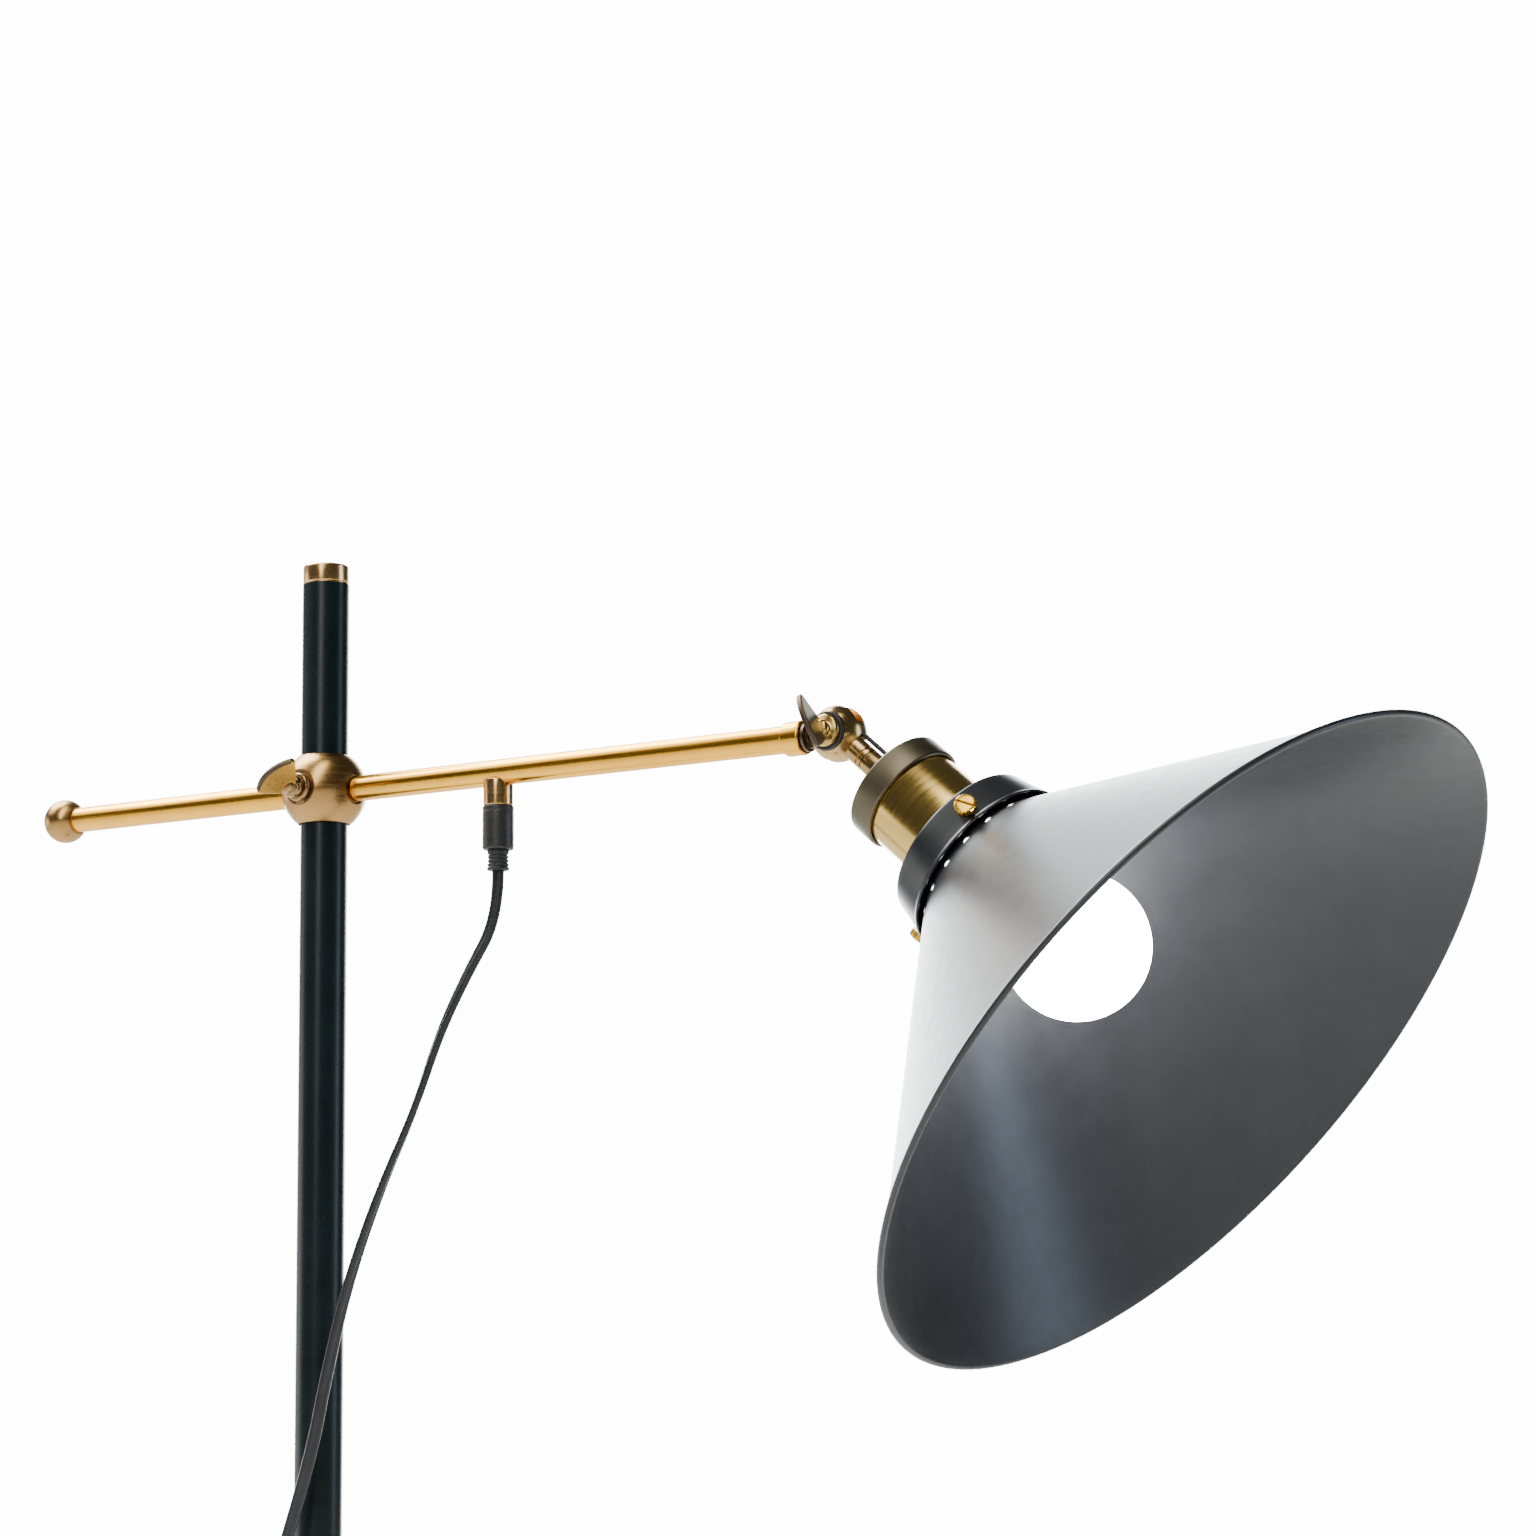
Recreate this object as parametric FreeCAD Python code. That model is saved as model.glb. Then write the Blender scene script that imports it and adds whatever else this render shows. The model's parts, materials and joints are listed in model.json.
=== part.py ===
import FreeCAD
import Part
import math
import os

# Adjustable arm floor lamp, in millimetres.
# Origin: centre of the base's underside. +Z up, +X along the arm towards the head.

V = FreeCAD.Vector
ORIGIN = V(0, 0, 0)
X_AXIS = V(1, 0, 0)
Y_AXIS = V(0, 1, 0)
Z_AXIS = V(0, 0, 1)

# Clearances
RUNNING = 0.06            # radial, shaft in hole
GAP = 0.3                 # between faces of different bodies

# Stand
LAMP_H = 1500.0
POLE_R = 10.6
POLE_BORE_R = 8.9
CAP_H = 8.9
CAP_R = 10.5
PAD_H = 2.0
PAD_R = 134.0
PAD_HOLE_R = 45.0
BASE_R = 140.0
BASE_TOP = 22.0
BASE_EDGE_R = 8.0
BOSS_R = 34.0
BOSS_TOP = 30.0
RECESS_R = 26.0
RECESS_TOP = 15.0
ROD_R = 5.0
COLLAR_R = 21.0
COLLAR_TOP = 52.0
JOINT_Z = 752.0           # where the two pole tubes meet
JOINT_RING_H = 9.0

# Clamp ball
ARM_Z = 1396.0
BALL_R = 19.4
BALL_RISE = 0.7           # the ball's centre stands this far above the arm's axis
BUSH_R = 12.7
BUSH_H = 22.0
LIP_R = 11.5
LIP_RING_R = 14.0
SPOT_R = 7.1              # recess round the arm and the handle
SPOT_X = 16.4
HUB_SPOT_R = 8.6          # recess round the wing screw
SPOT_Y = 17.4
CLAMP_SHANK_R = 3.0

# Arm and handle
ARM_R = 5.9
ARM_BORE_R = 4.4
ARM_START = 13.4
KNOB_X = -155.5
KNOB_R = 10.2
KNOB_FLAT = 7.9
FERRULE_R = 7.4
FERRULE_X0 = 248.4
FERRULE_X1 = 257.4
BOSS_X = 97.5             # brass cord boss under the arm
CORD_BOSS_R = 6.6
CORD_BOSS_LOW = 14.9
GLAND_R = 6.9
GLAND_LOW = 34.4
RELIEF_R = 4.7
RELIEF_LOW = 43.5
BOOT_BORE_R = 2.7
LEAD_R = 1.3

# Knuckle and head: s is the distance from the tilt axis along the head's axis
TILT_X = 273.5
TILT_DEG = 41.15          # head axis below the horizontal
KNUCKLE_R = 12.0
KNUCKLE_FLAT = 8.6
TONGUE_T = 5.0
TONGUE_H = 10.0
TONGUE_SHANK_R = 3.8
SLOT_W = 6.2
PIN_R = 2.5
NECK_R = 5.3
NECK_END = 19.0
HEAD_LEAD_R = 1.0
HEAD_LEAD_OFF = 7.0
CAP_BACK = 35.2
CAP_FRONT = 47.6
SOCKET_CAP_R = 24.2
SHELL_R = 22.6
SHELL_BORE_R = 21.7
GALLERY_BACK = 77.2
GALLERY_FRONT = 94.9
GALLERY_R0 = 35.4
GALLERY_R1 = 39.3
GALLERY_T = 1.2
PORCELAIN_R = 20.0
PORCELAIN_FRONT = 96.0
SOCKET_BORE_R = 14.4
SHADE_T = 1.0
SHADE_NECK_R = 33.4
SHADE_NECK_BACK = 79.4
SHADE_CONE_S = 93.0
SHADE_RIM_S = 215.9
SHADE_RIM_R = 162.1
RIM_BEAD_R = 1.6
VENTS = 20
VENT_R = 1.9
VENT_S = 98.4
SCREW_PHI = (-57.5, 62.5, 182.5)
SCREW_S = 87.3
SCREW_HEAD_R = 4.6
SCREW_HEAD_LOW = 38.8     # underside of the head from the head's axis
SCREW_HEAD_TOP = 42.2
SCREW_SLOT = 1.2
BULB_S = 146.8
BULB_R = 30.0
BULB_NECK_R = 12.9
BULB_GLASS_T = 0.8
BULB_CAP_R = 13.1
CONTACT_S = 69.8

# Wing screws: a leaf with a curved outer edge, brazed into a round hub a little off the middle
LEAF_T = 2.5
LEAF_HALF = 12.6          # half the length of the outer edge's chord
LEAF_SHIFT = 2.4          # the outer edge's middle from the screw's axis
LEAF_ROOT_HALF = 4.0
LEAF_ROOT = 3.0           # how far the root goes into the stem
LEAF_CHORD = 8.1          # from the stem's end to the chord
LEAF_CROWN = 13.2         # from the stem's end to the middle of the outer edge
LEAF_CORNER_R = 1.8
CLAMP_LEAF = {"deg": 31.0, "lean": 14.0, "out": 27.8}
TILT_LEAF = {"deg": 113.0, "lean": -8.0, "out": 15.4}

# Mains lead: flat twin, its tube drawn round at the lead's width
CORD_D = 5.6
CORD_SECTION_R = CORD_D / 2
COIL_CENTRE = (340.0, 37.6)
COIL_MID_R = 31.0
COIL_HALF_W = 9.0
COIL_H = 12.6

# Foot switch and plug
SWITCH_X = (214.0, 288.0)
SWITCH_Y = 1.0
SWITCH_HALF_W = 15.0
SWITCH_SPLIT = 9.0
SWITCH_TOP = 20.0
SWITCH_ROUND = 12.0
SWITCH_WALL = 2.4
SWITCH_END_WALL = 10.0
BUTTON_R = 8.0
BUTTON_TOP = 24.0
PLUG_Y = 74.2
PLUG_Z = 6.9
PLUG_RELIEF_X = (326.0, 296.0)
PLUG_BODY_X = (296.0, 261.0)
PIN_LENGTH = 19.0
PIN_SPACING = 19.0

HANGING_ROUTE = [
    (97.5, 0, 1352.5), (97.5, 0, 1332), (84, -4, 1308), (71, -7, 1282), (60, -9.5, 1250),
    (43, -13, 1214), (28, -16, 1174), (18.5, -18.5, 1134), (12, -20, 1100), (1.5, -21, 1070),
]
DROP_ROUTE = [
    (1.5, -21, 1070), (-9, -22, 1040), (-21, -8, 1003), (-18, 12, 966), (-4, 22, 929),
    (12, 20, 889), (22, 10, 842), (28, 1, 782), (34, -4, 710), (39, -5, 632), (42, -3, 553),
    (43, 1, 474), (42.5, 5, 395), (42, 8.5, 316), (43, 11, 238), (48, 12, 166), (60, 11.5, 104),
    (80, 10, 56), (108, 8, 27.5), (138, 5, 28.5), (166, 3, 23), (192, 1, 6), (214, 1, 6),
]
TAIL_ROUTE = [(288, 1, 6), (303, 1, 6), (318.6, 1, 3.2)]


# ---------- helpers ----------

def rod(radius, start, end):
    """Solid cylinder between two points."""
    line = end - start
    return Part.makeCylinder(radius, line.Length, start, line)


def pipe(outer, inner, start, end):
    """Hollow cylinder between two points."""
    line = end - start
    line.normalize()
    return rod(outer, start, end).cut(rod(inner, start - line, end + line))


def up(radius, low, high, x=0.0, y=0.0):
    """Solid cylinder parallel to Z."""
    return rod(radius, V(x, y, low), V(x, y, high))


def turned(profile):
    """Solid of revolution about Z from (radius, height) points."""
    points = [V(r, 0, z) for r, z in profile]
    face = Part.Face(Part.makePolygon(points + points[:1]))
    return face.revolve(ORIGIN, Z_AXIS, 360)


def box(low, high):
    """Block between two corners."""
    size = [b - a for a, b in zip(low, high)]
    return Part.makeBox(size[0], size[1], size[2], V(*low))


def rounded(shape, radius, choose):
    """Fillets the edges that the test picks."""
    return shape.makeFillet(radius, [edge for edge in shape.Edges if choose(edge)])


def circle_at(edge, radius, height):
    """True for a round edge about Z of this radius and height."""
    curve = edge.Curve
    if not isinstance(curve, Part.Circle):
        return False
    return abs(curve.Radius - radius) < 0.01 and abs(edge.BoundBox.ZMin - height) < 0.01


def to_arm(shape):
    """Moves a piece drawn about the ball's centre to its place on the pole."""
    moved = shape.copy()
    moved.translate(V(0, 0, ARM_Z))
    return moved


def to_tilt(shape):
    """Moves a piece drawn about the tilt axis to its place on the arm."""
    moved = shape.copy()
    moved.translate(V(TILT_X, 0, ARM_Z))
    return moved


def to_head(shape):
    """Turns a piece drawn along +Z onto the head's axis; drawn -X ends up uppermost."""
    moved = shape.copy()
    moved.rotate(ORIGIN, Y_AXIS, 90 + TILT_DEG)
    return to_tilt(moved)


def swept(points, label):
    """Round lead along straight runs joined by tangent arcs; prints its radii and volume check."""
    nodes = [V(*p) for p in points]
    edges = []
    radii = []
    last = nodes[0]
    for before, corner, after in zip(nodes, nodes[1:], nodes[2:]):
        back = before - corner
        ahead = after - corner
        turn = math.pi - back.getAngle(ahead)
        cut = 0.45 * min(back.Length, ahead.Length)
        radii.append(cut / math.tan(turn / 2))
        back.normalize()
        ahead.normalize()
        start = corner + back * cut
        end = corner + ahead * cut
        inward = back + ahead
        inward.normalize()
        to_centre = cut / math.cos(back.getAngle(ahead) / 2)
        reach = to_centre - math.sqrt(to_centre ** 2 - cut ** 2)
        edges.append(Part.LineSegment(last, start).toShape())
        edges.append(Part.Arc(start, corner + inward * reach, end).toShape())
        last = end
    edges.append(Part.LineSegment(last, nodes[-1]).toShape())
    wire = Part.Wire(edges)
    direction = nodes[1] - nodes[0]
    section = Part.Wire(Part.Circle(nodes[0], direction, CORD_SECTION_R).toShape())
    solid = wire.makePipeShell([section], True, False)
    ideal = math.pi * CORD_SECTION_R ** 2 * wire.Length
    print(label, "length", round(wire.Length, 1), "least radius", round(min(radii), 1))
    print(label, "radii", [round(r) for r in radii])
    print(label, "volume over section times length", round(solid.Volume / ideal, 4))
    return solid


# ---------- stand ----------

def base_plate():
    plate = up(BASE_R, PAD_H, BASE_TOP)
    plate = rounded(plate, BASE_EDGE_R, lambda e: circle_at(e, BASE_R, BASE_TOP))
    plate = rounded(plate, 1.5, lambda e: circle_at(e, BASE_R, PAD_H))
    boss = rounded(up(BOSS_R, BASE_TOP - 4, BOSS_TOP), 3.0, lambda e: circle_at(e, BOSS_R, BOSS_TOP))
    plate = plate.fuse(boss).removeSplitter()
    recess = up(RECESS_R, 0, RECESS_TOP)
    return plate.cut(recess).cut(up(ROD_R + 0.2, 0, BOSS_TOP + 1))


def base_pad():
    return pipe(PAD_R, PAD_HOLE_R, ORIGIN, V(0, 0, PAD_H))


def base_washer():
    return pipe(15.0, ROD_R + 0.2, V(0, 0, RECESS_TOP - 2), V(0, 0, RECESS_TOP))


def base_nut():
    nut_r = 9.8
    corners = [V(nut_r * math.cos(k * math.pi / 3), nut_r * math.sin(k * math.pi / 3), 0) for k in range(6)]
    low = RECESS_TOP - 10
    prism = Part.Face(Part.makePolygon(corners + corners[:1])).extrude(V(0, 0, 8))
    prism.translate(V(0, 0, low))
    return prism.cut(up(ROD_R, low - 1, RECESS_TOP))


def base_rod():
    return up(ROD_R, RECESS_TOP - 11, 78)


def foot_insert():
    """Threaded insert pressed into the bottom of the lower tube."""
    return pipe(POLE_BORE_R, ROD_R, V(0, 0, BOSS_TOP), V(0, 0, BOSS_TOP + 46))


def base_collar():
    inner = POLE_R + 0.1
    profile = [
        (inner, BOSS_TOP), (COLLAR_R, BOSS_TOP), (COLLAR_R, BOSS_TOP + 5), (COLLAR_R - 1.2, BOSS_TOP + 6.2),
        (15.5, BOSS_TOP + 8.5), (14.2, BOSS_TOP + 11), (14.2, COLLAR_TOP - 1), (13.2, COLLAR_TOP),
        (inner, COLLAR_TOP),
    ]
    return turned(profile)


def lower_pole():
    return pipe(POLE_R, POLE_BORE_R, V(0, 0, BOSS_TOP), V(0, 0, JOINT_Z))


def joint_ring():
    """Brass ring between the tubes, flush with them so that the ball can pass."""
    ring = pipe(POLE_R, POLE_BORE_R, V(0, 0, JOINT_Z), V(0, 0, JOINT_Z + JOINT_RING_H))
    groove = pipe(POLE_R + 1, POLE_R - 0.5, V(0, 0, JOINT_Z + 4), V(0, 0, JOINT_Z + 5))
    return ring.cut(groove)


def joint_spigot():
    """Steel sleeve inside both tubes."""
    return pipe(POLE_BORE_R, 6.2, V(0, 0, JOINT_Z - 38), V(0, 0, JOINT_Z + JOINT_RING_H + 38))


def upper_pole():
    return pipe(POLE_R, POLE_BORE_R, V(0, 0, JOINT_Z + JOINT_RING_H), V(0, 0, LAMP_H - CAP_H))


def pole_cap():
    low = LAMP_H - CAP_H
    profile = [
        (0, low - 14), (POLE_BORE_R, low - 14), (POLE_BORE_R, low), (CAP_R, low), (CAP_R, low + 0.5),
        (CAP_R - 0.3, low + 0.8), (CAP_R, low + 1.1), (CAP_R, LAMP_H - 1), (CAP_R - 1, LAMP_H), (0, LAMP_H),
    ]
    return turned(profile)


# ---------- slider and clamp ball ----------

def pole_bush():
    """Split nylon liner that slides on the pole and turns inside the ball."""
    bush = pipe(BUSH_R, POLE_R + RUNNING, V(0, 0, -BUSH_H / 2), V(0, 0, BUSH_H / 2))
    slit = box((-1, 0, -BUSH_H), (1, BUSH_R + 1, BUSH_H))
    return to_arm(bush.cut(slit))


def ball_sphere():
    return Part.makeSphere(BALL_R, V(0, 0, BALL_RISE))


def clamp_ball():
    ball = ball_sphere().cut(up(LIP_R, -2 * BALL_R, 2 * BALL_R))
    ball = ball.cut(up(BUSH_R + RUNNING, -BALL_R, BUSH_H / 2 + GAP))
    ball = ball.cut(up(LIP_RING_R, -BALL_R, -BUSH_H / 2 - GAP))
    for side in (1, -1):
        ball = ball.cut(rod(SPOT_R, V(side * SPOT_X, 0, 0), V(side * (BALL_R + 1), 0, 0)))
        ball = ball.cut(rod(ARM_R, V(side * BUSH_R, 0, 0), V(side * BALL_R, 0, 0)))
    ball = ball.cut(rod(HUB_SPOT_R, V(0, -SPOT_Y, 0), V(0, -BALL_R - 1, 0)))
    ball = ball.cut(rod(CLAMP_SHANK_R + RUNNING, V(0, -BUSH_R, 0), V(0, -BALL_R, 0)))
    return to_arm(ball)


def ball_lip_ring():
    """Ring pressed into the ball's underside that keeps the bush in; its face carries the ball's curve on."""
    ring = pipe(LIP_RING_R, LIP_R, V(0, 0, -BALL_R), V(0, 0, -BUSH_H / 2 - GAP))
    return to_arm(ring.common(ball_sphere()))


def clamp_pad():
    """Brass pad that the wing screw pushes against the bush."""
    return to_arm(rod(CLAMP_SHANK_R + RUNNING, V(0, -BUSH_R - 2, 0), V(0, -BUSH_R - 0.4, 0)))


def wing_leaf(spec):
    """Leaf that widens from its root to a curved outer edge, leans over and is turned about the screw."""
    left = V(LEAF_SHIFT - LEAF_HALF, -LEAF_CHORD, 0)
    right = V(LEAF_SHIFT + LEAF_HALF, -LEAF_CHORD, 0)
    crown = V(LEAF_SHIFT, -LEAF_CROWN, 0)
    roots = [V(side * LEAF_ROOT_HALF, LEAF_ROOT, 0) for side in (1, -1)]
    edges = [
        Part.Arc(left, crown, right).toShape(), Part.LineSegment(right, roots[0]).toShape(),
        Part.LineSegment(roots[0], roots[1]).toShape(), Part.LineSegment(roots[1], left).toShape(),
    ]
    leaf = Part.Face(Part.Wire(edges)).extrude(V(0, 0, LEAF_T))
    leaf.translate(V(0, 0, -LEAF_T / 2))
    leaf = rounded(leaf, LEAF_CORNER_R, lambda e: e.BoundBox.ZLength > LEAF_T - 0.01 and e.BoundBox.YMax < 0)
    leaf.rotate(ORIGIN, X_AXIS, -spec["lean"])
    leaf.translate(V(0, -spec["out"], 0))
    leaf.rotate(ORIGIN, Y_AXIS, -spec["deg"])
    return leaf


def wing_screw(shank_r, tip, seat, hub_r, stem_r, end):
    """Shank, round hub and stem, turned about the Y axis; distances are measured towards -Y."""
    profile = [
        (0, tip), (shank_r, tip), (shank_r, seat), (hub_r, seat), (hub_r, seat + 1.6), (hub_r - 0.8, seat + 2.6),
        (stem_r, seat + 3.8), (stem_r, end - 1), (stem_r - 1, end), (0, end),
    ]
    screw = turned(profile)
    screw.rotate(ORIGIN, X_AXIS, 90)
    return screw


def clamp_wing_leaf():
    return to_arm(wing_leaf(CLAMP_LEAF))


def clamp_wing_screw():
    screw = wing_screw(CLAMP_SHANK_R, BUSH_R + 2, SPOT_Y + GAP, 6.4, 4.6, CLAMP_LEAF["out"] + 1)
    return to_arm(screw).cut(clamp_wing_leaf())


# ---------- arm ----------

def handle_rod():
    return to_arm(rod(ARM_R, V(KNOB_X + KNOB_FLAT, 0, 0), V(-ARM_START, 0, 0)))


def handle_knob():
    knob = Part.makeSphere(KNOB_R)
    knob = knob.cut(rod(KNOB_R, V(KNOB_FLAT, 0, 0), V(KNOB_R + 1, 0, 0)))
    knob.translate(V(KNOB_X, 0, 0))
    return to_arm(knob)


def arm_tube():
    tube = pipe(ARM_R, ARM_BORE_R, V(ARM_START, 0, 0), V(FERRULE_X0 + 3, 0, 0))
    return to_arm(tube.cut(up(3.4, -ARM_R - 1, 0, BOSS_X)))


def arm_ferrule():
    ferrule = rod(FERRULE_R, V(FERRULE_X0, 0, 0), V(FERRULE_X1, 0, 0))
    ferrule = ferrule.cut(rod(ARM_R, V(FERRULE_X0 - 1, 0, 0), V(FERRULE_X0 + 3, 0, 0)))
    ferrule = ferrule.cut(rod(TONGUE_SHANK_R, V(FERRULE_X0, 0, 0), V(FERRULE_X1 + 1, 0, 0)))
    return to_arm(ferrule)


def knuckle_tongue():
    """Flat tongue inside the split ball, with a bore for the lead."""
    half = TONGUE_T / 2
    plate = box((-16.0, -half, -TONGUE_H / 2), (0, half, TONGUE_H / 2))
    plate = plate.fuse(rod(TONGUE_H / 2, V(0, -half, 0), V(0, half, 0)))
    shank = rod(TONGUE_SHANK_R, V(FERRULE_X0 + 3 - TILT_X, 0, 0), V(-13, 0, 0))
    collar = rod(FERRULE_R - 1.2, V(-15.4, 0, 0), V(-14.2, 0, 0))
    tongue = plate.fuse(shank).fuse(collar).removeSplitter()
    tongue = tongue.cut(rod(PIN_R + RUNNING, V(0, -half - 1, 0), V(0, half + 1, 0)))
    bore = rod(2.0, V(FERRULE_X0 - TILT_X, 0, 0), V(-7, 0, 0))
    return to_tilt(tongue.cut(bore))


def cord_boss():
    """Brass boss brazed under the arm, where the lead goes in."""
    boss = pipe(CORD_BOSS_R, 3.4, V(BOSS_X, 0, -CORD_BOSS_LOW), V(BOSS_X, 0, 0))
    return to_arm(boss.cut(rod(ARM_R, V(BOSS_X - 12, 0, 0), V(BOSS_X + 12, 0, 0))))


def cord_gland():
    """Black gland screwed into the boss."""
    profile = [
        (3.4, -GLAND_LOW + 16), (3.4, -CORD_BOSS_LOW), (GLAND_R, -CORD_BOSS_LOW), (GLAND_R, -GLAND_LOW + 0.8),
        (GLAND_R - 0.8, -GLAND_LOW), (RELIEF_R - 0.3, -GLAND_LOW), (RELIEF_R - 0.3, -GLAND_LOW + 16),
    ]
    gland = turned(profile)
    gland.translate(V(BOSS_X, 0, 0))
    return to_arm(gland)


def strain_relief():
    """Tapered rubber boot held in the gland; its collar shows below."""
    profile = [
        (BOOT_BORE_R, -GLAND_LOW + 15.5), (RELIEF_R - 0.9, -GLAND_LOW + 15.5), (RELIEF_R - 0.4, -GLAND_LOW),
        (RELIEF_R, -GLAND_LOW), (RELIEF_R, -GLAND_LOW - 2), (RELIEF_R - 0.5, -GLAND_LOW - 5),
        (RELIEF_R - 0.5, -RELIEF_LOW + 2), (RELIEF_R + 0.2, -RELIEF_LOW + 1.4),
        (RELIEF_R + 0.2, -RELIEF_LOW), (BOOT_BORE_R, -RELIEF_LOW),
    ]
    boot = turned(profile)
    boot.translate(V(BOSS_X, 0, 0))
    return to_arm(boot)


def arm_lead():
    """The lead's two insulated wires inside the boot, gland, boss and arm."""
    wires = []
    for side in (-1, 1):
        y = side * (LEAD_R + 0.05)
        rise = rod(LEAD_R, V(BOSS_X, y, -RELIEF_LOW + 0.1), V(BOSS_X, y, 0))
        run = rod(LEAD_R, V(BOSS_X, y, 0), V(FERRULE_X0, y, 0))
        wires.append(rise.fuse(run).fuse(Part.makeSphere(LEAD_R, V(BOSS_X, y, 0))))
    return to_arm(Part.makeCompound(wires))


# ---------- knuckle ----------

def knuckle_ball():
    """Split ball and neck of the head, in one piece."""
    ball = Part.makeSphere(KNUCKLE_R).fuse(up(NECK_R, 0, NECK_END)).removeSplitter()
    for side in (1, -1):
        ball = ball.cut(rod(KNUCKLE_R, V(0, side * KNUCKLE_FLAT, 0), V(0, side * (KNUCKLE_R + 1), 0)))
    half = SLOT_W / 2
    ball = ball.cut(box((-14, -half, -14), (14, half, TONGUE_H / 2 + 0.5)))
    ball = ball.cut(rod(TONGUE_H / 2 + 0.6, V(0, -half, 0), V(0, half, 0)))
    ball = ball.cut(rod(PIN_R + RUNNING, V(0, -KNUCKLE_R, 0), V(0, KNUCKLE_R, 0)))
    ball = ball.cut(up(HEAD_LEAD_R + 0.1, 0, KNUCKLE_R + 2, -HEAD_LEAD_OFF))
    groove = pipe(NECK_R + 1, NECK_R - 0.6, V(0, 0, NECK_END - 2.6), V(0, 0, NECK_END - 1.6))
    return to_head(ball.cut(groove))


def friction_washers():
    """Fibre discs between the tongue and the cheeks."""
    inner = TONGUE_T / 2 + 0.05
    outer = SLOT_W / 2
    discs = [pipe(4.8, PIN_R + 0.3, V(0, side * inner, 0), V(0, side * outer, 0)) for side in (-1, 1)]
    return to_tilt(Part.makeCompound(discs))


def tilt_washer():
    profile = [
        (PIN_R + 0.3, KNUCKLE_FLAT), (8.3, KNUCKLE_FLAT), (8.3, KNUCKLE_FLAT + 1.3), (7.7, KNUCKLE_FLAT + 1.8),
        (PIN_R + 0.3, KNUCKLE_FLAT + 1.8),
    ]
    washer = turned(profile)
    washer.rotate(ORIGIN, X_AXIS, 90)
    return to_tilt(washer)


def tilt_nut():
    """Domed nut that the wing screw turns in."""
    profile = [
        (PIN_R + RUNNING, KNUCKLE_FLAT), (6.4, KNUCKLE_FLAT), (6.4, KNUCKLE_FLAT + 3.2), (4.6, KNUCKLE_FLAT + 5.2),
        (0, KNUCKLE_FLAT + 6.2), (0, KNUCKLE_FLAT + 4.6), (PIN_R + RUNNING, KNUCKLE_FLAT + 4.6),
    ]
    nut = turned(profile)
    nut.rotate(ORIGIN, X_AXIS, -90)
    return to_tilt(nut)


def tilt_wing_leaf():
    return to_tilt(wing_leaf(TILT_LEAF))


def tilt_wing_screw():
    seat = KNUCKLE_FLAT + 1.8 + 0.1
    screw = wing_screw(PIN_R, -KNUCKLE_FLAT - 4.2, seat, 6.2, 4.2, TILT_LEAF["out"] + 1)
    return to_tilt(screw).cut(tilt_wing_leaf())


# ---------- head ----------

def neck_nipple():
    """Threaded tube between the knuckle and the socket cap."""
    return to_head(pipe(NECK_R, 2.6, V(0, 0, NECK_END), V(0, 0, CAP_BACK + 6)))


def head_lead():
    """Lead that leaves the knuckle and runs beside the neck into the socket cap."""
    return to_head(up(HEAD_LEAD_R, 7.4, CAP_BACK + 10, -HEAD_LEAD_OFF))


def socket_cap():
    cap = up(SOCKET_CAP_R, CAP_BACK, CAP_FRONT)
    cap = rounded(cap, 1.2, lambda e: circle_at(e, SOCKET_CAP_R, CAP_BACK))
    cap = cap.cut(up(SHELL_R, CAP_BACK + 3.2, CAP_FRONT + 1))
    cap = cap.cut(up(NECK_R, CAP_BACK - 1, CAP_FRONT))
    return to_head(cap.cut(up(HEAD_LEAD_R + 0.1, CAP_BACK - 1, CAP_FRONT, -HEAD_LEAD_OFF)))


def socket_shell():
    return to_head(pipe(SHELL_R, SHELL_BORE_R, V(0, 0, CAP_BACK + 3.2), V(0, 0, GALLERY_BACK)))


def socket_insert():
    """Porcelain holder, held in the shell, with a blind bore for the lamp cap."""
    profile = [
        (0, 50), (SHELL_BORE_R, 50), (SHELL_BORE_R, GALLERY_BACK - 1.8), (PORCELAIN_R, GALLERY_BACK - 1.8),
        (PORCELAIN_R, PORCELAIN_FRONT - 1.2), (PORCELAIN_R - 1.2, PORCELAIN_FRONT), (15.4, PORCELAIN_FRONT),
        (SOCKET_BORE_R, PORCELAIN_FRONT - 1), (SOCKET_BORE_R, 67), (0, 67),
    ]
    return to_head(turned(profile))


def socket_thread():
    """Brass screw shell inside the porcelain."""
    return to_head(pipe(SOCKET_BORE_R, 13.7, V(0, 0, 70.5), V(0, 0, PORCELAIN_FRONT - 3)))


def socket_contact():
    """Sprung centre contact."""
    foot = box((-3, -2, 67), (3, 2, 67.8))
    riser = box((-3, -2, 67), (-2, 2, CONTACT_S))
    tip = box((-3, -2, CONTACT_S - 0.8), (3, 2, CONTACT_S))
    return to_head(foot.fuse(riser).fuse(tip).removeSplitter())


def shade_gallery():
    """Black skirt that holds the shade, open at the front."""
    skirt = turned([
        (PORCELAIN_R + 0.2, GALLERY_BACK), (GALLERY_R0 - 1.2, GALLERY_BACK), (GALLERY_R0, GALLERY_BACK + 1.2),
        (GALLERY_R1, GALLERY_FRONT), (GALLERY_R1 - GALLERY_T, GALLERY_FRONT),
        (GALLERY_R0 - GALLERY_T, GALLERY_BACK + GALLERY_T), (PORCELAIN_R + 0.2, GALLERY_BACK + GALLERY_T),
    ])
    for phi in SCREW_PHI:
        skirt = skirt.cut(radial(2.0, SHADE_NECK_R - 3, SCREW_HEAD_TOP, phi, SCREW_S))
    return to_head(skirt)


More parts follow.
